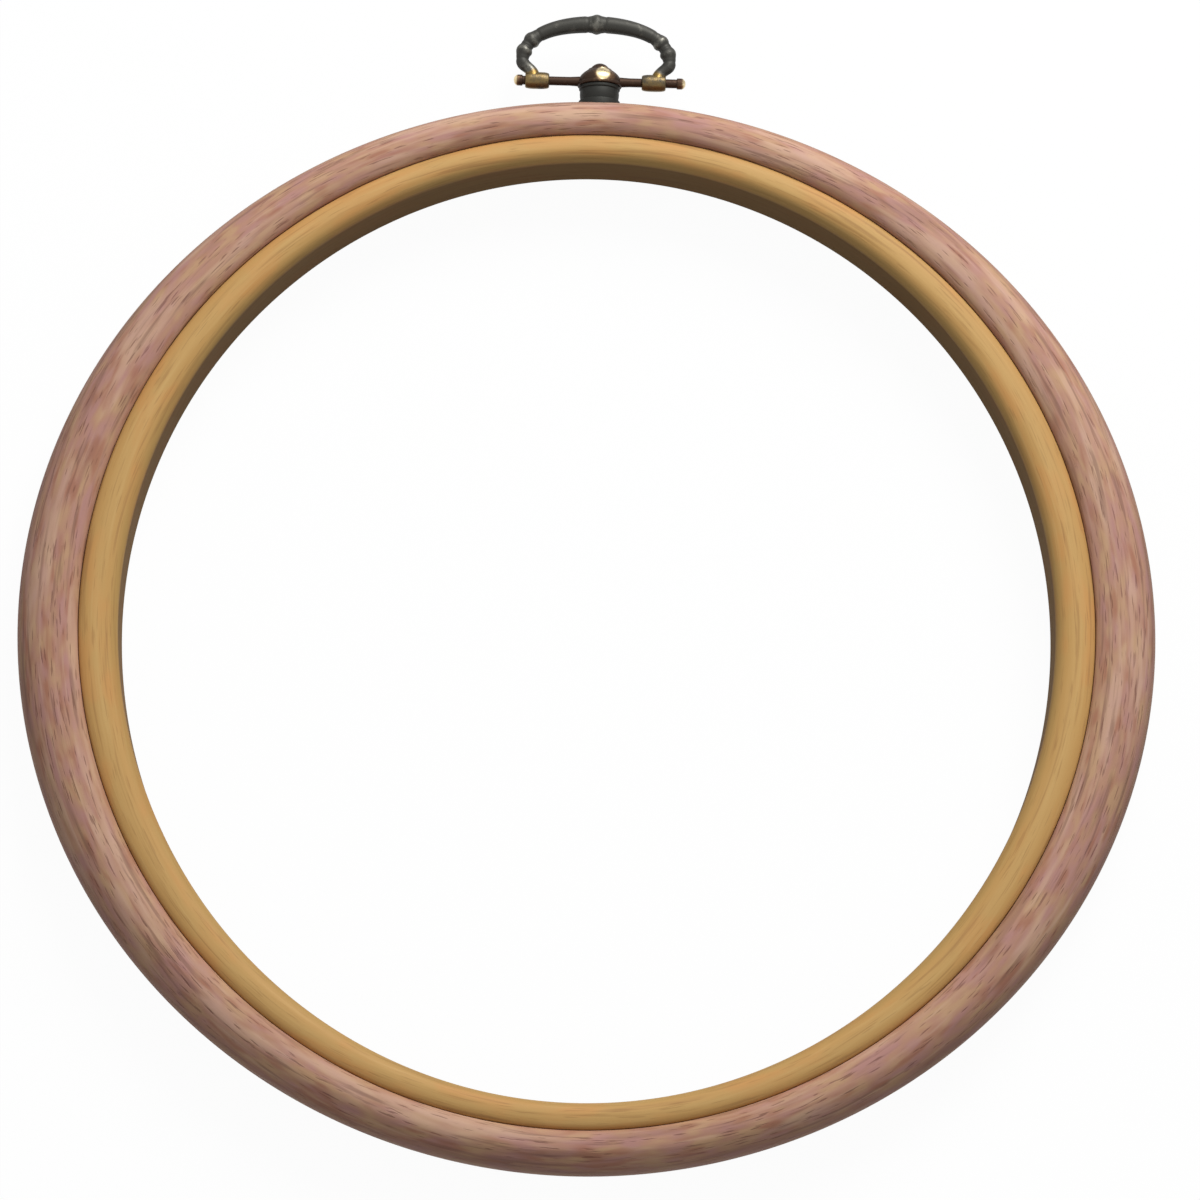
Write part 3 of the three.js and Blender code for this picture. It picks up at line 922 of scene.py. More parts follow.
@dataclass
class HangerFoot:
    """The screw, its washer and the ferrule, which hold the hanger to the outer ring."""

    places: Places  # places read from the frame
    sides: int = 96  # columns round each turned piece
    shank_radius: float = 1.1 * MM  # radius of the screw over its thread
    shank_clearance: float = 0.15 * MM  # room round the shank
    thread_depth: float = 0.16 * MM  # depth of the thread
    thread_pitch: float = 0.5 * MM  # distance between turns of the thread
    thread_rows: int = 12  # rows of the surface for each turn of the thread
    head_rim: float = 0.55 * MM  # height of the edge of the screw's head
    head_face_radius: float = 1.6 * MM  # flat of the screw's head, inside its rounded edge
    slot_width: float = 0.5 * MM  # width of the screw's slot
    slot_depth: float = 0.45 * MM  # depth of the screw's slot
    pocket_clearance: float = 0.2 * MM  # room round the washer and round the ferrule in the ring
    ferrule_foot: float = 1.2 * MM  # height of the ferrule's lower rim
    ferrule_waist: float = 3.0 * MM  # radius of the ferrule's waist
    ferrule_collar: float = 3.15 * MM  # radius of the ferrule's upper rim
    collar_height: float = 0.6 * MM  # height of the ferrule's upper rim
    edge_round: float = 0.18 * MM  # radius of turned edges

    def __post_init__(self) -> None:
        """Reads the screw's axis and the places along it from the frame."""
        screw_low, screw_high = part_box("hanger_screw")
        washer_low, washer_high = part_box("screw_washer")
        ferrule_low, ferrule_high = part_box("hanger_ferrule")
        middle = (ferrule_low + ferrule_high) / 2
        self.axis = Vector((middle.x, 0, middle.z))
        self.screw_face, self.screw_tip = screw_low.y, screw_high.y
        self.head_radius = (screw_high.x - screw_low.x) / 2
        self.washer_face, self.washer_seat = washer_low.y, washer_high.y
        self.washer_radius = (washer_high.x - washer_low.x) / 2
        self.ferrule_seat, self.ferrule_top = ferrule_low.y, ferrule_high.y
        self.ferrule_radius = (ferrule_high.x - ferrule_low.x) / 2
        self.hole_radius = self.shank_radius + self.shank_clearance

    def _turned(self, stretches: Sequence[ArrayLike]) -> Surface:
        """Turns the stretches of a profile of radius and height about the screw's axis."""
        return turned(stretches, Axis.ALONG_Y, self.axis, self.sides)

    def way(self) -> bpy.types.Object:
        """The stepped hole through the outer ring: washer pocket, shank hole and ferrule seat.

        Returns:
            The solid that is cut out of the ring.
        """
        pocket = self.washer_radius + self.pocket_clearance
        spot = self.ferrule_radius + self.pocket_clearance
        start, end = self.screw_face - 2 * CUT_MARGIN, self.ferrule_top + 2 * CUT_MARGIN
        profile = [
            (0, start),
            (pocket, start),
            (pocket, self.washer_seat),
            (self.hole_radius, self.washer_seat),
            (self.hole_radius, self.ferrule_seat),
            (spot, self.ferrule_seat),
            (spot, end),
            (0, end),
        ]
        return self._turned(profile).build("hanger_way")

    def ferrule(self) -> Surface:
        """The ferrule: a round-edged foot and collar, and between them a cove whose radius goes
        straight from one to the other less half a sine wave.

        Returns:
            The ferrule's surface.
        """
        edge, hole = self.edge_round, self.hole_radius
        foot_top = self.ferrule_seat + self.ferrule_foot
        collar_base = self.ferrule_top - self.collar_height
        outer, collar = self.ferrule_radius - edge, self.ferrule_collar - edge
        cove_start = outer - edge
        share = np.linspace(0, 1, 25)
        dip = (cove_start + collar) / 2 - self.ferrule_waist
        cove_radius = cove_start + (collar - cove_start) * share - dip * np.sin(math.pi * share)
        cove = np.stack([cove_radius, foot_top + (collar_base - foot_top) * share], axis=-1)
        stretches = [
            arc((hole + edge, self.ferrule_seat + edge), (edge, edge), 180, 270),
            arc((outer, self.ferrule_seat + edge), (edge, edge), 270, 360, 6),
            arc((outer, foot_top - edge), (edge, edge), 0, 90, 6),
            cove,
            arc((collar, collar_base + edge), (edge, edge), 270, 360, 6),
            arc((collar, self.ferrule_top - edge), (edge, edge), 0, 90, 6),
            arc((hole + edge, self.ferrule_top - edge), (edge, edge), 90, 180),
        ]
        return self._turned(stretches)

    def washer(self) -> Surface:
        """The washer: a flat ring with round edges.

        Returns:
            The washer's surface.
        """
        edge = (self.washer_seat - self.washer_face) / 4
        inner, outer = self.hole_radius + edge, self.washer_radius - edge
        low, high = self.washer_face + edge, self.washer_seat - edge
        stretches = [
            arc((inner, low), (edge, edge), 180, 270),
            arc((outer, low), (edge, edge), 270, 360),
            arc((outer, high), (edge, edge), 0, 90),
            arc((inner, high), (edge, edge), 90, 180),
        ]
        return self._turned(stretches)

    def screw(self) -> Surface:
        """The screw: a domed head, and a shank whose radius falls by the thread's depth times a
        raised cosine of the turns gone, which are the height over the pitch less the angle.

        Returns:
            The screw's surface, before its slot is cut.
        """
        seat = self.washer_face
        rim_base = seat - self.head_rim
        rim_half = (self.head_radius - self.head_face_radius, rim_base - self.screw_face)
        count = round((self.screw_tip - seat) / self.thread_pitch * self.thread_rows)
        shank = np.stack(
            [np.full(count, self.shank_radius), np.linspace(seat, self.screw_tip, count)], axis=-1
        )
        stretches = [
            (0, self.screw_face),
            arc((self.head_face_radius, rim_base), rim_half, 270, 360, 8),
            (self.head_radius, seat),
            shank,
            (0, self.screw_tip),
        ]
        surface = self._turned(stretches)
        offset = surface.points - np.array(self.axis)
        angle = np.arctan2(offset[..., 2], offset[..., 0])
        height = offset[..., 1] - seat
        turns = height / self.thread_pitch - angle / (2 * math.pi)
        run_in = np.clip(height / self.thread_pitch, 0, 1)
        radius = np.hypot(offset[..., 0], offset[..., 2])
        on_shank = np.isclose(radius, self.shank_radius) & (height >= 0)
        fall = self.thread_depth * run_in * (1 + np.cos(2 * math.pi * turns)) / 2
        share = np.where(on_shank, 1 - fall / self.shank_radius, 1.0)
        offset[..., 0] *= share
        offset[..., 2] *= share
        return Surface(offset + np.array(self.axis), rows_close=False)

    def slot(self) -> bpy.types.Object:
        """The screw's slot: a long four-sided tube.

        Returns:
            The solid that is cut out of the screw's head.
        """
        half_width, reach = self.slot_width / 2, self.head_radius + CUT_MARGIN
        low, high = self.screw_face - CUT_MARGIN, self.screw_face + self.slot_depth
        section = np.array(
            [(-half_width, low), (half_width, low), (half_width, high), (-half_width, high)]
        )
        middle = section.mean(axis=0)
        rows = [
            (middle, -reach),
            (section, -reach),
            (section, reach),
            (middle, reach),
        ]
        points = [
            np.concatenate([np.broadcast_to(flat, section.shape), np.full((4, 1), depth)], axis=1)
            for flat, depth in rows
        ]
        offset = np.array((self.axis.x, 0, self.axis.z))
        return Surface(np.stack(points) + offset, rows_close=False).build("screw_slot")

    def dress(self, dark: bpy.types.Material, steel: bpy.types.Material) -> None:
        """Builds the three pieces and dresses them.

        Args:
            dark: finish of the ferrule.
            steel: finish of the screw and the washer.
        """
        ferrule = self.ferrule().build("turned_ferrule")
        washer = self.washer().build("seating_washer")
        screw = self.screw().build("slotted_screw")
        combine(screw, [self.slot()], Joining.CUT)
        place_piece(ferrule, dark, "outer", "hanger_ferrule")
        place_piece(washer, steel, "outer", "screw_washer")
        place_piece(screw, steel, "outer", "hanger_screw")


@dataclass
class Crossbar:
    """The bar on which the bail turns, its boss with the ball, and its riveted end caps."""

    places: Places  # places read from the frame
    sides: int = 96  # columns round each turned piece
    boss_drop: float = 0.85 * MM  # underside of the boss below the bar's axis
    boss_plate: float = 0.55 * MM  # thickness of the boss's lower edge
    cone_top_radius: float = 1.85 * MM  # radius of the boss's top, in which the ball sits
    cone_top: float = 1.95 * MM  # height of that top above the bar's axis
    cone_swell: float = 0.5 * MM  # how far the boss bulges between its edge and its top
    ball_radius: float = 1.65 * MM  # radius of the ball
    ball_lift: float = 1.25 * MM  # centre of the ball above the bar's axis
    # middle of the painted highlight on the boss's front: right of the boss's axis, and above the
    # bar's
    highlight_place: tuple[float, float] = (0.5 * MM, 0.7 * MM)
    highlight_half: tuple[float, float] = (1.3 * MM, 1.5 * MM)  # half width and height of that spot
    ball_wear: float = 0.5  # share of wear at the top of the ball
    cap_wear: float = 0.8  # share of wear at the caps' outer ends
    bar_radius: float = 0.68 * MM  # radius of the bar
    shoulder_radius: float = 0.8 * MM  # radius of the bar's thick middle
    shoulder_start: float = 2.6 * MM  # where the thick middle begins to thin
    shoulder_reach: float = 4.6 * MM  # where it has run out
    spigot_radius: float = 0.42 * MM  # radius of the spigots that the caps sit on
    spigot_length: float = 0.7 * MM  # length of the spigots
    socket_clearance: float = 0.1 * MM  # room round a spigot in its cap
    hole_radius: float = 1.25 * MM  # radius of the screw's blind hole
    hole_tip: float = 0.35 * MM  # top of the blind hole above the bar's axis
    cap_length: float = 1.35 * MM  # length of an end cap
    dome_length: float = 0.7 * MM  # length of its domed end
    edge_round: float = 0.15 * MM  # radius of turned edges

    def __post_init__(self) -> None:
        """Reads the boss's and the caps' radii from the frame."""
        bar_low, bar_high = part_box("hanger_crossbar")
        cap_low, cap_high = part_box("right_end_cap")
        self.boss_radius = (bar_high.z - bar_low.z) / 2
        self.cap_radius = (cap_high.z - cap_low.z) / 2

    def boss(self) -> Surface:
        """The boss: a round-edged plate, a bell whose radius falls straight but for half a sine
        wave on top, and a ball half sunk in it.

        Returns:
            The boss's surface, before the screw's hole is cut.
        """
        edge = self.edge_round
        base, plate_top = -self.boss_drop, self.boss_plate - self.boss_drop
        outer, foot = self.boss_radius - edge, self.boss_radius - 1.5 * edge
        share = np.linspace(0, 1, 21)
        swell = self.cone_swell * np.sin(math.pi * share)
        bell_radius = foot + (self.cone_top_radius - foot) * share + swell
        bell_height = plate_top + (self.cone_top - edge - plate_top) * share
        sunk = math.degrees(math.asin((self.cone_top - self.ball_lift) / self.ball_radius))
        top_edge = (self.cone_top_radius - edge, self.cone_top - edge)
        stretches = [
            (0, base),
            arc((outer, base + edge), (edge, edge), 270, 360, 5),
            arc((outer, plate_top - edge), (edge, edge), 0, 90, 5),
            np.stack([bell_radius, bell_height], axis=-1),
            arc(top_edge, (edge, edge), 0, 90, 5)[1:],
            arc((0, self.ball_lift), (self.ball_radius,) * 2, sunk, 90, 24),
        ]
        return turned(stretches, Axis.ALONG_Y, self.places.pivot, self.sides)

    def wear_and_highlight(self, places: np.ndarray) -> np.ndarray:
        """Wear and painted highlight of the crossbar and its caps: a painted highlight by the
        exponential of the square distance from the middle of the boss's front, and wear growing
        steadily up the ball and along the caps.

        Args:
            places: rows of places.

        Returns:
            The share of wear and painted highlight at each.
        """
        across, above, ahead = (places - np.array(self.places.pivot)).T
        aside = (across - self.highlight_place[0]) / self.highlight_half[0]
        higher = (above - self.highlight_place[1]) / self.highlight_half[1]
        # painted highlight on the boss's front
        boss_highlight = np.exp(-(aside**2) - higher**2) * (ahead > 0)
        up_ball = np.clip((above - self.cone_top) / self.ball_lift, 0, 1)
        along_cap = np.clip((np.abs(across) - self.places.bar_half) / self.cap_length, 0, 1)
        return np.maximum.reduce([boss_highlight, self.ball_wear * up_ball, self.cap_wear * along_cap])

    def bar(self) -> Surface:
        """The bar: thick in the middle, thinning straight to the bar proper, with a round-edged
        spigot at each end.

        Returns:
            The bar's surface, from pole to pole.
        """
        half, spigot_end = self.places.bar_half, self.places.bar_half + self.spigot_length
        edge = self.spigot_radius / 3
        thinning = [
            (self.shoulder_radius, 0),
            (self.shoulder_radius, self.shoulder_start),
            (self.bar_radius, self.shoulder_reach),
            (self.bar_radius, half),
            (self.spigot_radius, half),
        ]
        rim = arc((self.spigot_radius - edge, spigot_end - edge), (edge, edge), 0, 90)
        right = np.concatenate([thinning, rim, [(0, spigot_end)]])
        left = right[:0:-1] * np.array((1, -1))
        return turned([left, right], Axis.ALONG_X, self.places.pivot, self.sides // 2)

    def hole(self) -> bpy.types.Object:
        """The solid that cuts the screw's blind hole into the boss."""
        pivot, ends = self.places.pivot, (-self.boss_drop - CUT_MARGIN, self.hole_tip)
        return plug("blind_hole", Axis.ALONG_Y, pivot, self.hole_radius, ends, self.sides)

    def cap(self, side: int) -> Surface:
        """An end cap: a short cylinder with a quarter-ellipse dome and a socket for the spigot.

        Args:
            side: 1 for the right end, -1 for the left.

        Returns:
            The cap's surface.
        """
        inner = self.places.bar_half
        edge = self.cap_radius / 8
        dome_base = inner + self.cap_length - self.dome_length
        socket = self.spigot_radius + self.socket_clearance
        socket_end = inner + self.spigot_length + self.socket_clearance
        hollow = [(0, socket_end), (socket, socket_end), (socket, inner)]
        rim = arc((self.cap_radius - edge, inner + edge), (edge, edge), 270, 360)
        dome = arc((0, dome_base), (self.cap_radius, self.dome_length), 0, 90, 14)
        profile = np.concatenate([hollow, rim, dome]) * np.array((1, side))
        return turned([profile], Axis.ALONG_X, self.places.pivot, self.sides // 2)

    def dress(self, brass: bpy.types.Material) -> None:
        """Builds the crossbar and its caps and dresses them.

        Args:
            brass: finish of the crossbar and the caps.
        """
        crossbar = self.boss().build("crossbar_with_ball")
        combine(crossbar, [self.bar().build("plain_bar")], Joining.JOIN)
        combine(crossbar, [self.hole()], Joining.CUT)
        mark_wear_and_highlight(crossbar, self.wear_and_highlight)
        place_piece(crossbar, brass, "outer", "hanger_crossbar")
        for side, word in ((-1, "left"), (1, "right")):
            cap = self.cap(side).build(f"{word}_rivet_cap")
            mark_wear_and_highlight(cap, self.wear_and_highlight)
            place_piece(cap, brass, "outer", f"{word}_end_cap")


@dataclass
class Bail:
    """The arched rod with turned beads, on two barrel knuckles that swing on the bar."""

    places: Places  # places read from the frame
    sides: int = 40  # columns round the rod
    steps: int = 420  # rows along the rod
    curve_steps: int = 400  # stretches of a swan neck, and half those of half the arch
    span: float = 22.6 * MM  # distance between the arms' centre lines
    arm_height: float = 3.2 * MM  # from the bar's axis to the foot of the arch
    arch_rise: float = 6.0 * MM  # rise of the arch
    arch_fullness: float = 0.62  # how far the arch's curve is pulled out towards its corners
    rod_radius: float = 1.0 * MM  # radius of the rod
    neck_radius: float = 0.7 * MM  # radius of its necks, just above the knuckles
    neck_taper: float = 0.08  # share of the rod over which a neck grows to the full rod
    flare_radius: float = 1.2 * MM  # radius of its feet, where they spread on the knuckles
    flare_length: float = 2.2 * MM  # length of rod over which a foot spreads
    crown_radius: float = 1.3 * MM  # radius in the middle
    bead_swell: float = 0.25 * MM  # how far a bead stands out of the rod
    bead_length: float = 2.0 * MM  # length of a bead
    groove: float = 0.07 * MM  # depth of the groove on either side of a bead
    groove_place: float = 1.35  # its middle, in half bead lengths from the bead's middle
    groove_half: float = 0.35  # its half width, in half bead lengths
    rod_wear: float = 0.1  # share of wear all over the rod
    bead_wear: float = 0.3  # what a bead's crest adds to it
    groove_wear: float = -0.2  # what a groove adds
    neck_wear_and_highlight: float = 0.4  # what a neck adds at the foot: rubbing, and a painted highlight on the thin neck
    flare_wear: float = 0.3  # what the spread of a foot adds
    # places of the beads, as shares of the rod from a foot
    shoulder_beads: tuple[float, ...] = (0.14, 0.2)
    knuckle_length: float = 3.7 * MM  # length of a knuckle
    knuckle_radius: float = 1.3 * MM  # radius of its middle
    knuckle_end_radius: float = 1.1 * MM  # radius of its ends
    edge_drop: float = 0.12 * MM  # how far the round edge of its ends falls
    edge_sharpness: float = 14.0  # a knuckle's half length over the length of that edge
    knuckle_inset: float = 0.5 * MM  # outer face of a knuckle inside the arm's centre line
    knuckle_wear: float = 0.55  # share of wear on the knuckles
    knuckle_grasp: float = 1.01  # how far round the bar that wear reaches, in knuckle radii
    neck_bend: float = 2.1 * MM  # height at which the swan necks turn outwards
    bore_radius: float = 0.82 * MM  # radius of the bore that the bar runs in

    def __post_init__(self) -> None:
        """Reads from the frame how far along the bar the bail lies."""
        low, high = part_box("hanger_bail")
        self.middle = Vector(((low.x + high.x) / 2, self.places.pivot.y, self.places.pivot.z))
        self.knuckle_outer = self.span / 2 - self.knuckle_inset

    def centre_line(self) -> tuple[np.ndarray, float]:
        """The rod's centre line: a cubic swan neck and a cubic half arch, and both mirrored, read
        at equal distances along it.

        Returns:
            Points of x and y from foot to foot, and the whole length.
        """
        half, foot = self.span / 2, self.knuckle_outer - self.flare_radius
        top, pull = self.arm_height + self.arch_rise, self.arch_fullness
        shoulder = (-half, self.arm_height + self.arch_rise * pull)
        bend, arm = (-half, self.neck_bend), (-half, self.arm_height)
        start, steps = (-foot, self.bore_radius / 2), self.curve_steps
        neck = cubic([start, (-foot, self.neck_bend), bend, arm], steps)
        arch = cubic([arm, shoulder, (-half * pull, top), (0, top)], 2 * steps)
        left = np.concatenate([neck, arch[1:]])
        whole = np.concatenate([left, left[-2::-1] * np.array((-1, 1))])
        gone = np.concatenate([[0], np.cumsum(np.hypot(*np.diff(whole, axis=0).T))])
        wanted = np.linspace(0, gone[-1], self.steps + 1)
        even = np.stack([np.interp(wanted, gone, whole[:, k]) for k in range(2)], axis=-1)
        return even, float(gone[-1])

    def radii(self, length: float) -> tuple[np.ndarray, np.ndarray]:
        """Radius along the rod: it grows straight from the necks, spreads at the feet by the
        square of the distance left, is fullest in the middle by the fourth power of a sine,
        swells by a squared cosine at each bead and dips beside it.

        Args:
            length: length of the rod.

        Returns:
            The radius and the share of wear and painted highlight, row by row.
        """
        place = np.linspace(0, 1, self.steps + 1)
        from_foot = np.minimum(place, 1 - place)
        grown = np.minimum(1, from_foot / self.neck_taper)
        spread = np.clip(1 - from_foot * length / self.flare_length, 0, 1) ** 2
        radius = self.neck_radius + (self.rod_radius - self.neck_radius) * grown
        radius += (self.flare_radius - self.neck_radius) * spread
        radius += (self.crown_radius - self.rod_radius) * np.sin(math.pi * place) ** 4
        shoulders = np.array(self.shoulder_beads)
        beads = np.concatenate([shoulders, [0.5], 1 - shoulders])[:, None]
        away = np.abs(place - beads) * length / (self.bead_length / 2)
        crest = (np.cos(math.pi / 2 * np.minimum(away, 1)) ** 2).max(axis=0)
        from_groove = np.abs(away - self.groove_place) / self.groove_half
        beside = np.clip(1 - from_groove, 0, 1).max(axis=0)
        radius += self.bead_swell * crest - self.groove * beside * (1 - crest)
        wear_and_highlight = self.rod_wear + self.bead_wear * crest + self.groove_wear * beside
        # the necks get a painted highlight along with their rubbing
        wear_and_highlight += self.neck_wear_and_highlight * (1 - grown) + self.flare_wear * np.sqrt(spread)
        return radius, wear_and_highlight

    def rod(self) -> Surface:
        """The rod: a circle of the row's radius stands square to the centre line at each row.

        Returns:
            The rod's surface, closed at both feet.
        """
        centre, length = self.centre_line()
        radius, _ = self.radii(length)
        along = np.gradient(centre, axis=0)
        along /= np.hypot(*along.T)[:, None]
        turn = np.linspace(0, 2 * math.pi, self.sides, endpoint=False)
        out = radius[:, None] * np.cos(turn)
        parts = (
            centre[:, :1] + along[:, 1:] * out,
            centre[:, 1:] - along[:, :1] * out,
            radius[:, None] * np.sin(turn),
        )
        points = np.stack(parts, axis=-1)
        ends = [points[:1].mean(axis=1, keepdims=True), points[-1:].mean(axis=1, keepdims=True)]
        first, last = (np.repeat(end, self.sides, axis=1) for end in ends)
        whole = np.concatenate([first, points, last]) + np.array(self.middle)
        return Surface(whole, rows_close=False)

    def wear_and_highlight(self, places: np.ndarray) -> np.ndarray:
        """Wear and painted highlight of the bail: that of the nearest row of the rod, and much wear
        on the knuckles, which lie within their radius of the bar's axis.

        Args:
            places: rows of places.

        Returns:
            The share of wear and painted highlight at each.
        """
        across, above, ahead = (places - np.array(self.middle)).T
        centre, length = self.centre_line()
        _, on_rod = self.radii(length)
        nearest = np.hypot(across[:, None] - centre[:, 0], above[:, None] - centre[:, 1]).argmin(1)
        on_knuckle = np.hypot(above, ahead) < self.knuckle_radius * self.knuckle_grasp
        return np.where(on_knuckle, self.knuckle_wear, on_rod[nearest])

    def knuckle(self, side: int) -> Surface:
        """A barrel knuckle: its radius falls from the middle to the ends by the fourth power of
        the distance from the middle, and its end edges are round.

        Args:
            side: 1 for the right knuckle, -1 for the left.

        Returns:
            The barrel without its bore.
        """
        half = self.knuckle_length / 2
        middle = side * (self.knuckle_outer - half)
        share = np.linspace(-1, 1, 41)
        edge = np.minimum(1, (1 - np.abs(share)) * self.edge_sharpness) ** 0.5
        barrel = self.knuckle_radius - (self.knuckle_radius - self.knuckle_end_radius) * share**4
        radius = barrel - (1 - edge) * self.edge_drop
        profile = np.stack([radius, middle + half * share], axis=-1)
        whole = [(0, middle - half), profile, (0, middle + half)]
        return turned(whole, Axis.ALONG_X, self.middle, self.sides)

    def bore(self) -> bpy.types.Object:
        """The solid that cuts the long bore through both knuckles."""
        ends = (-self.knuckle_outer - CUT_MARGIN, self.knuckle_outer + CUT_MARGIN)
        return plug("bore", Axis.ALONG_X, self.middle, self.bore_radius, ends, self.sides)

    def dress(self, dark: bpy.types.Material) -> None:
        """Builds the bail and dresses it.

        Args:
            dark: its finish.
        """
        bail = self.rod().build("beaded_bail")
        knuckles = [self.knuckle(side).build(f"knuckle_{side}") for side in (-1, 1)]
        combine(bail, knuckles, Joining.JOIN)
        combine(bail, [self.bore()], Joining.CUT)
        mark_wear_and_highlight(bail, self.wear_and_highlight)
        place_piece(bail, dark, "bail", "hanger_bail")


def direction(slant: float, bearing: float) -> Vector:
    """A direction one unit long: the slant's sine by the bearing's cosine and sine, and the
    slant's cosine upwards.

    Args:
        slant: angle from +Z, in degrees.
        bearing: angle from +X towards +Y, in degrees.

    Returns:
        The unit vector.
    """
    polar, turn = math.radians(slant), math.radians(bearing)
    flat = math.sin(polar)
    return Vector((flat * math.cos(turn), flat * math.sin(turn), math.cos(polar)))


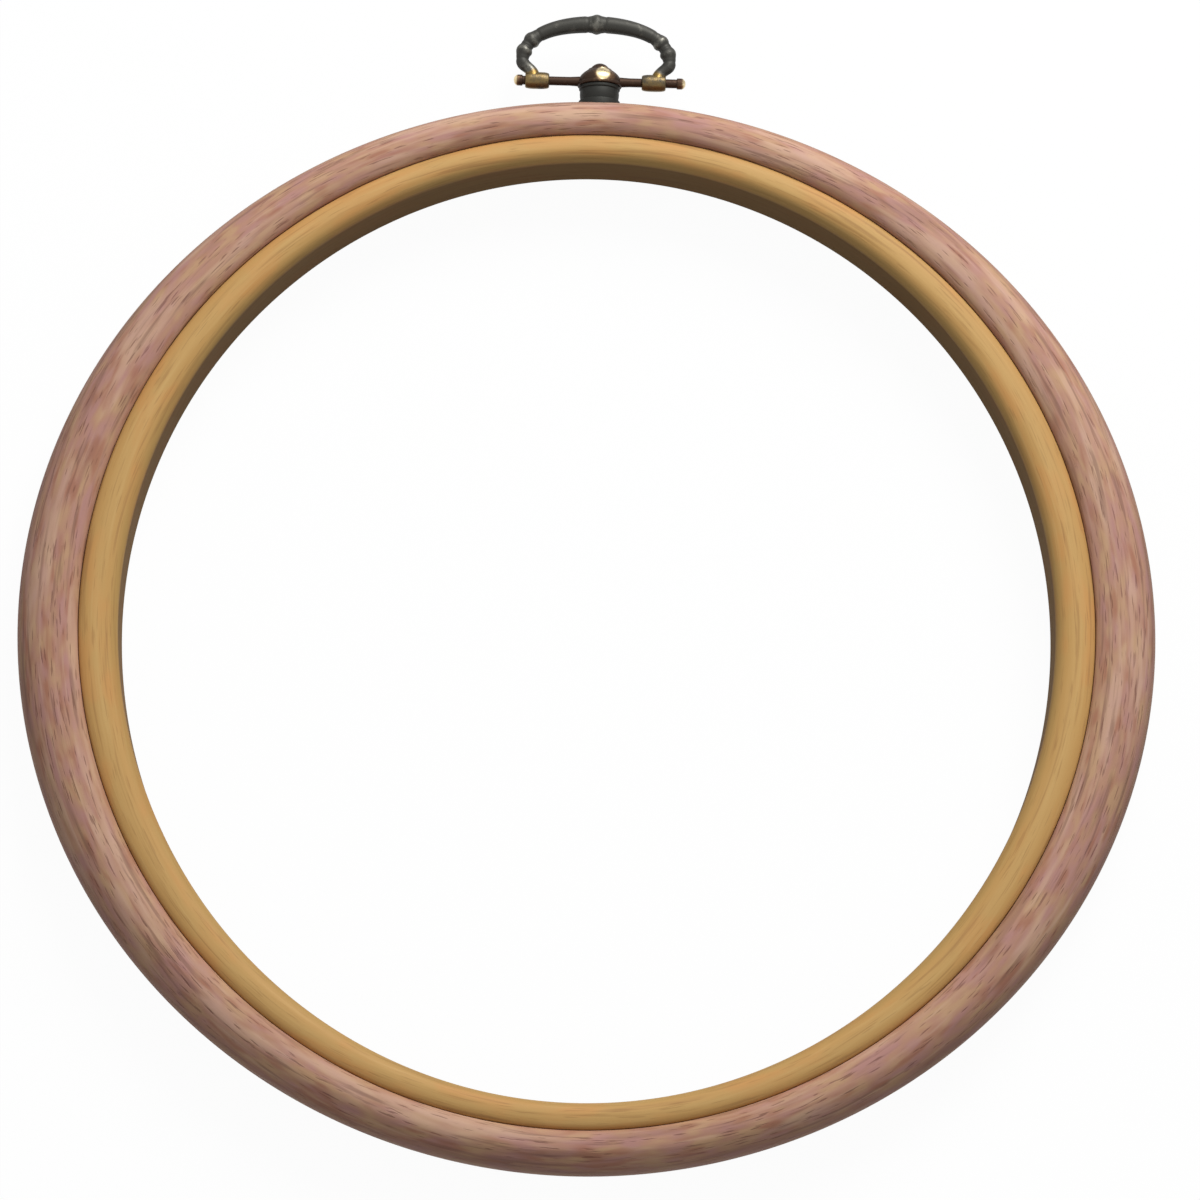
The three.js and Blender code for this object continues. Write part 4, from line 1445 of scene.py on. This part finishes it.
@dataclass(frozen=True)
class Studio:
    """Floor, light and camera."""

    centre: Vector  # middle of the rings
    floor_half: float = 3.0  # half width of the floor
    floor_gap: float = 0.05 * MM  # how far the floor lies under the hoop, against flicker
    floor_glow: float = 0.96  # share of the floor's white that doesn't depend on the light
    floor_bounce: float = 0.3  # grey that the floor throws back on the hoop
    fill: float = 0.37  # strength of the light from all round
    key_bearing: float = 70.0  # side that the main lamp stands on, from +X, in degrees
    key_slant: float = 52.0  # its angle from the line that stands on the hoop's front, in degrees
    key_distance: float = 0.9  # its distance
    key_size: float = 0.5  # its diameter
    key_power: float = 7.4  # its power in watts
    # angle between the view and the line that stands on the hoop's front, in degrees
    tilt: float = 12.3
    bearing: float = 268.0  # side that the camera stands on, from +X, in degrees
    roll: float = 1.3  # how far the hoop is turned clockwise in the picture, in degrees
    distance: float = 0.9  # from the camera to the rings' mid-plane
    clip: tuple[float, float] = (0.05, 20.0)  # nearest and furthest distance that the camera sees
    image_size: int = 1200  # width and height of the picture in pixels
    pixel: float = 0.15059 * MM  # real size of a pixel at the rings' mid-plane
    # where the middle of the rings' mid-plane falls in the picture
    centre_pixel: tuple[float, float] = (587.0, 630.0)

    def _seen(self, book: NodeBook) -> Wire:
        """Tells what the camera sees straight, in a mirror or through glass from the rest.

        Args:
            book: the node tree that the nodes are added to.

        Returns:
            1 for a seen ray and 0 for any other.
        """
        path = book.raw("ShaderNodeLightPath")
        camera, glossy, through = (
            Wire(book, path.outputs[name])
            for name in ("Is Camera Ray", "Is Glossy Ray", "Is Transmission Ray")
        )
        return camera.highest(glossy).highest(through)

    def floor(self) -> None:
        """A plain white floor that keeps the hoop's shadow and throws back only a little light."""
        half, low = self.floor_half, self.centre.z - self.floor_gap
        corners = [(-half, -half, low), (half, -half, low), (half, half, low), (-half, half, low)]
        mesh = bpy.data.meshes.new("floor")
        mesh.from_pydata(corners, [], [(0, 1, 2, 3)])
        floor = add_object("floor", mesh)
        material, book = new_material("pale_floor")
        grey = (self.floor_bounce, self.floor_bounce, self.floor_bounce, 1.0)
        lit = book.node("ShaderNodeBsdfDiffuse", inputs={"Color": WHITE})
        glow = book.node("ShaderNodeEmission", inputs={"Color": WHITE, "Strength": 1.0})
        shown = book.node("ShaderNodeMixShader", inputs={0: self.floor_glow, 1: lit, 2: glow})
        bounce = book.node("ShaderNodeBsdfDiffuse", inputs={"Color": grey})
        whole = book.node("ShaderNodeMixShader", inputs={0: self._seen(book), 1: bounce, 2: shown})
        book.finish(whole)
        mesh.materials.append(material)

    def world(self) -> None:
        """A white backdrop, and an even light from all round."""
        world = bpy.data.worlds.new("studio")
        bpy.context.scene.world = world
        world.use_nodes = True
        book = NodeBook(world.node_tree)
        around = book.node("ShaderNodeBackground", inputs={"Color": WHITE, "Strength": self.fill})
        shown = book.node("ShaderNodeBackground", inputs={"Color": WHITE, "Strength": 1.0})
        whole = book.node("ShaderNodeMixShader", inputs={0: self._seen(book), 1: around, 2: shown})
        book.finish(whole, "ShaderNodeOutputWorld")

    def lamp(self) -> None:
        """The main lamp, a soft disc at the upper right of the picture."""
        away = direction(self.key_slant, self.key_bearing)
        light = bpy.data.lights.new("key_lamp", "AREA")
        light.shape = "DISK"
        light.size = self.key_size
        light.energy = self.key_power
        lamp = add_object("key_lamp", light)
        lamp.location = self.centre + away * self.key_distance
        lamp.rotation_mode = "QUATERNION"
        lamp.rotation_quaternion = away.to_track_quat("Z", "Y")

    def camera(self, depth: float) -> None:
        """The camera: it stands on the view's line through the rings' mid-plane, moved sideways in
        its own picture plane so that the rings' middle falls where the photograph has it.

        Args:
            depth: height of the rings, whose middle is the plane that pixels are measured in.
        """
        back = direction(self.tilt, self.bearing)
        level_up = (Vector((0, 1, 0)) - back * back.y).normalized()
        level_right = level_up.cross(back)
        roll = math.radians(self.roll)
        up = level_up * math.cos(roll) - level_right * math.sin(roll)
        right = level_right * math.cos(roll) + level_up * math.sin(roll)
        picture_middle = self.image_size / 2
        aside = (picture_middle - self.centre_pixel[0]) * self.pixel
        above = (self.centre_pixel[1] - picture_middle) * self.pixel
        aim = self.centre + Vector((0, 0, depth / 2))
        place = aim + back * self.distance + right * aside + up * above
        data = bpy.data.cameras.new("camera")
        data.lens = data.sensor_width * self.distance / (self.image_size * self.pixel)
        data.clip_start, data.clip_end = self.clip
        camera = add_object("camera", data)
        turn = Matrix((right, up, back)).transposed().to_4x4()
        camera.matrix_world = Matrix.Translation(place) @ turn
        bpy.context.scene.camera = camera


def main() -> None:
    """Builds the rings, the hanger and the studio in order."""
    logging.basicConfig(level=logging.INFO, format="%(name)s: %(message)s")
    bpy.context.scene.view_settings.view_transform = "Standard"
    places = Places.from_frame(Rings.flange, Rings.clearance, Crossbar.cap_length)
    pewter, zinc = srgb(112, 110, 102), srgb(196, 196, 190)
    gold, straw, bronze = srgb(124, 101, 56), srgb(236, 216, 172), srgb(128, 100, 74)
    soot, smoke = srgb(48, 48, 45), srgb(62, 61, 57)
    umber, dust = srgb(60, 43, 32), srgb(128, 126, 120)
    black = AgedMetal("black_brass", pewter, pewter, soot, rubbed=0.05, roughness=0.34)
    dark = AgedMetal("dark_brass", gold, pewter, smoke, rubbed=0.2, roughness=0.34)
    # straw, the antique brass's bright, also colours the painted highlight on the boss's front
    brass = AgedMetal("antique_brass", straw, bronze, umber, rubbed=0.2, roughness=0.32)
    steel = AgedMetal("zinc_steel", zinc, zinc, dust, rubbed=0.9, roughness=0.26)
    foot = HangerFoot(places)
    Rings(places).dress(foot.way())
    foot.dress(black.material(), steel.material())
    Crossbar(places).dress(brass.material())
    Bail(places).dress(dark.material())
    studio = Studio(places.centre)
    studio.floor()
    studio.world()
    studio.lamp()
    studio.camera(places.outer_depth)


if __name__ == "__main__":
    main()
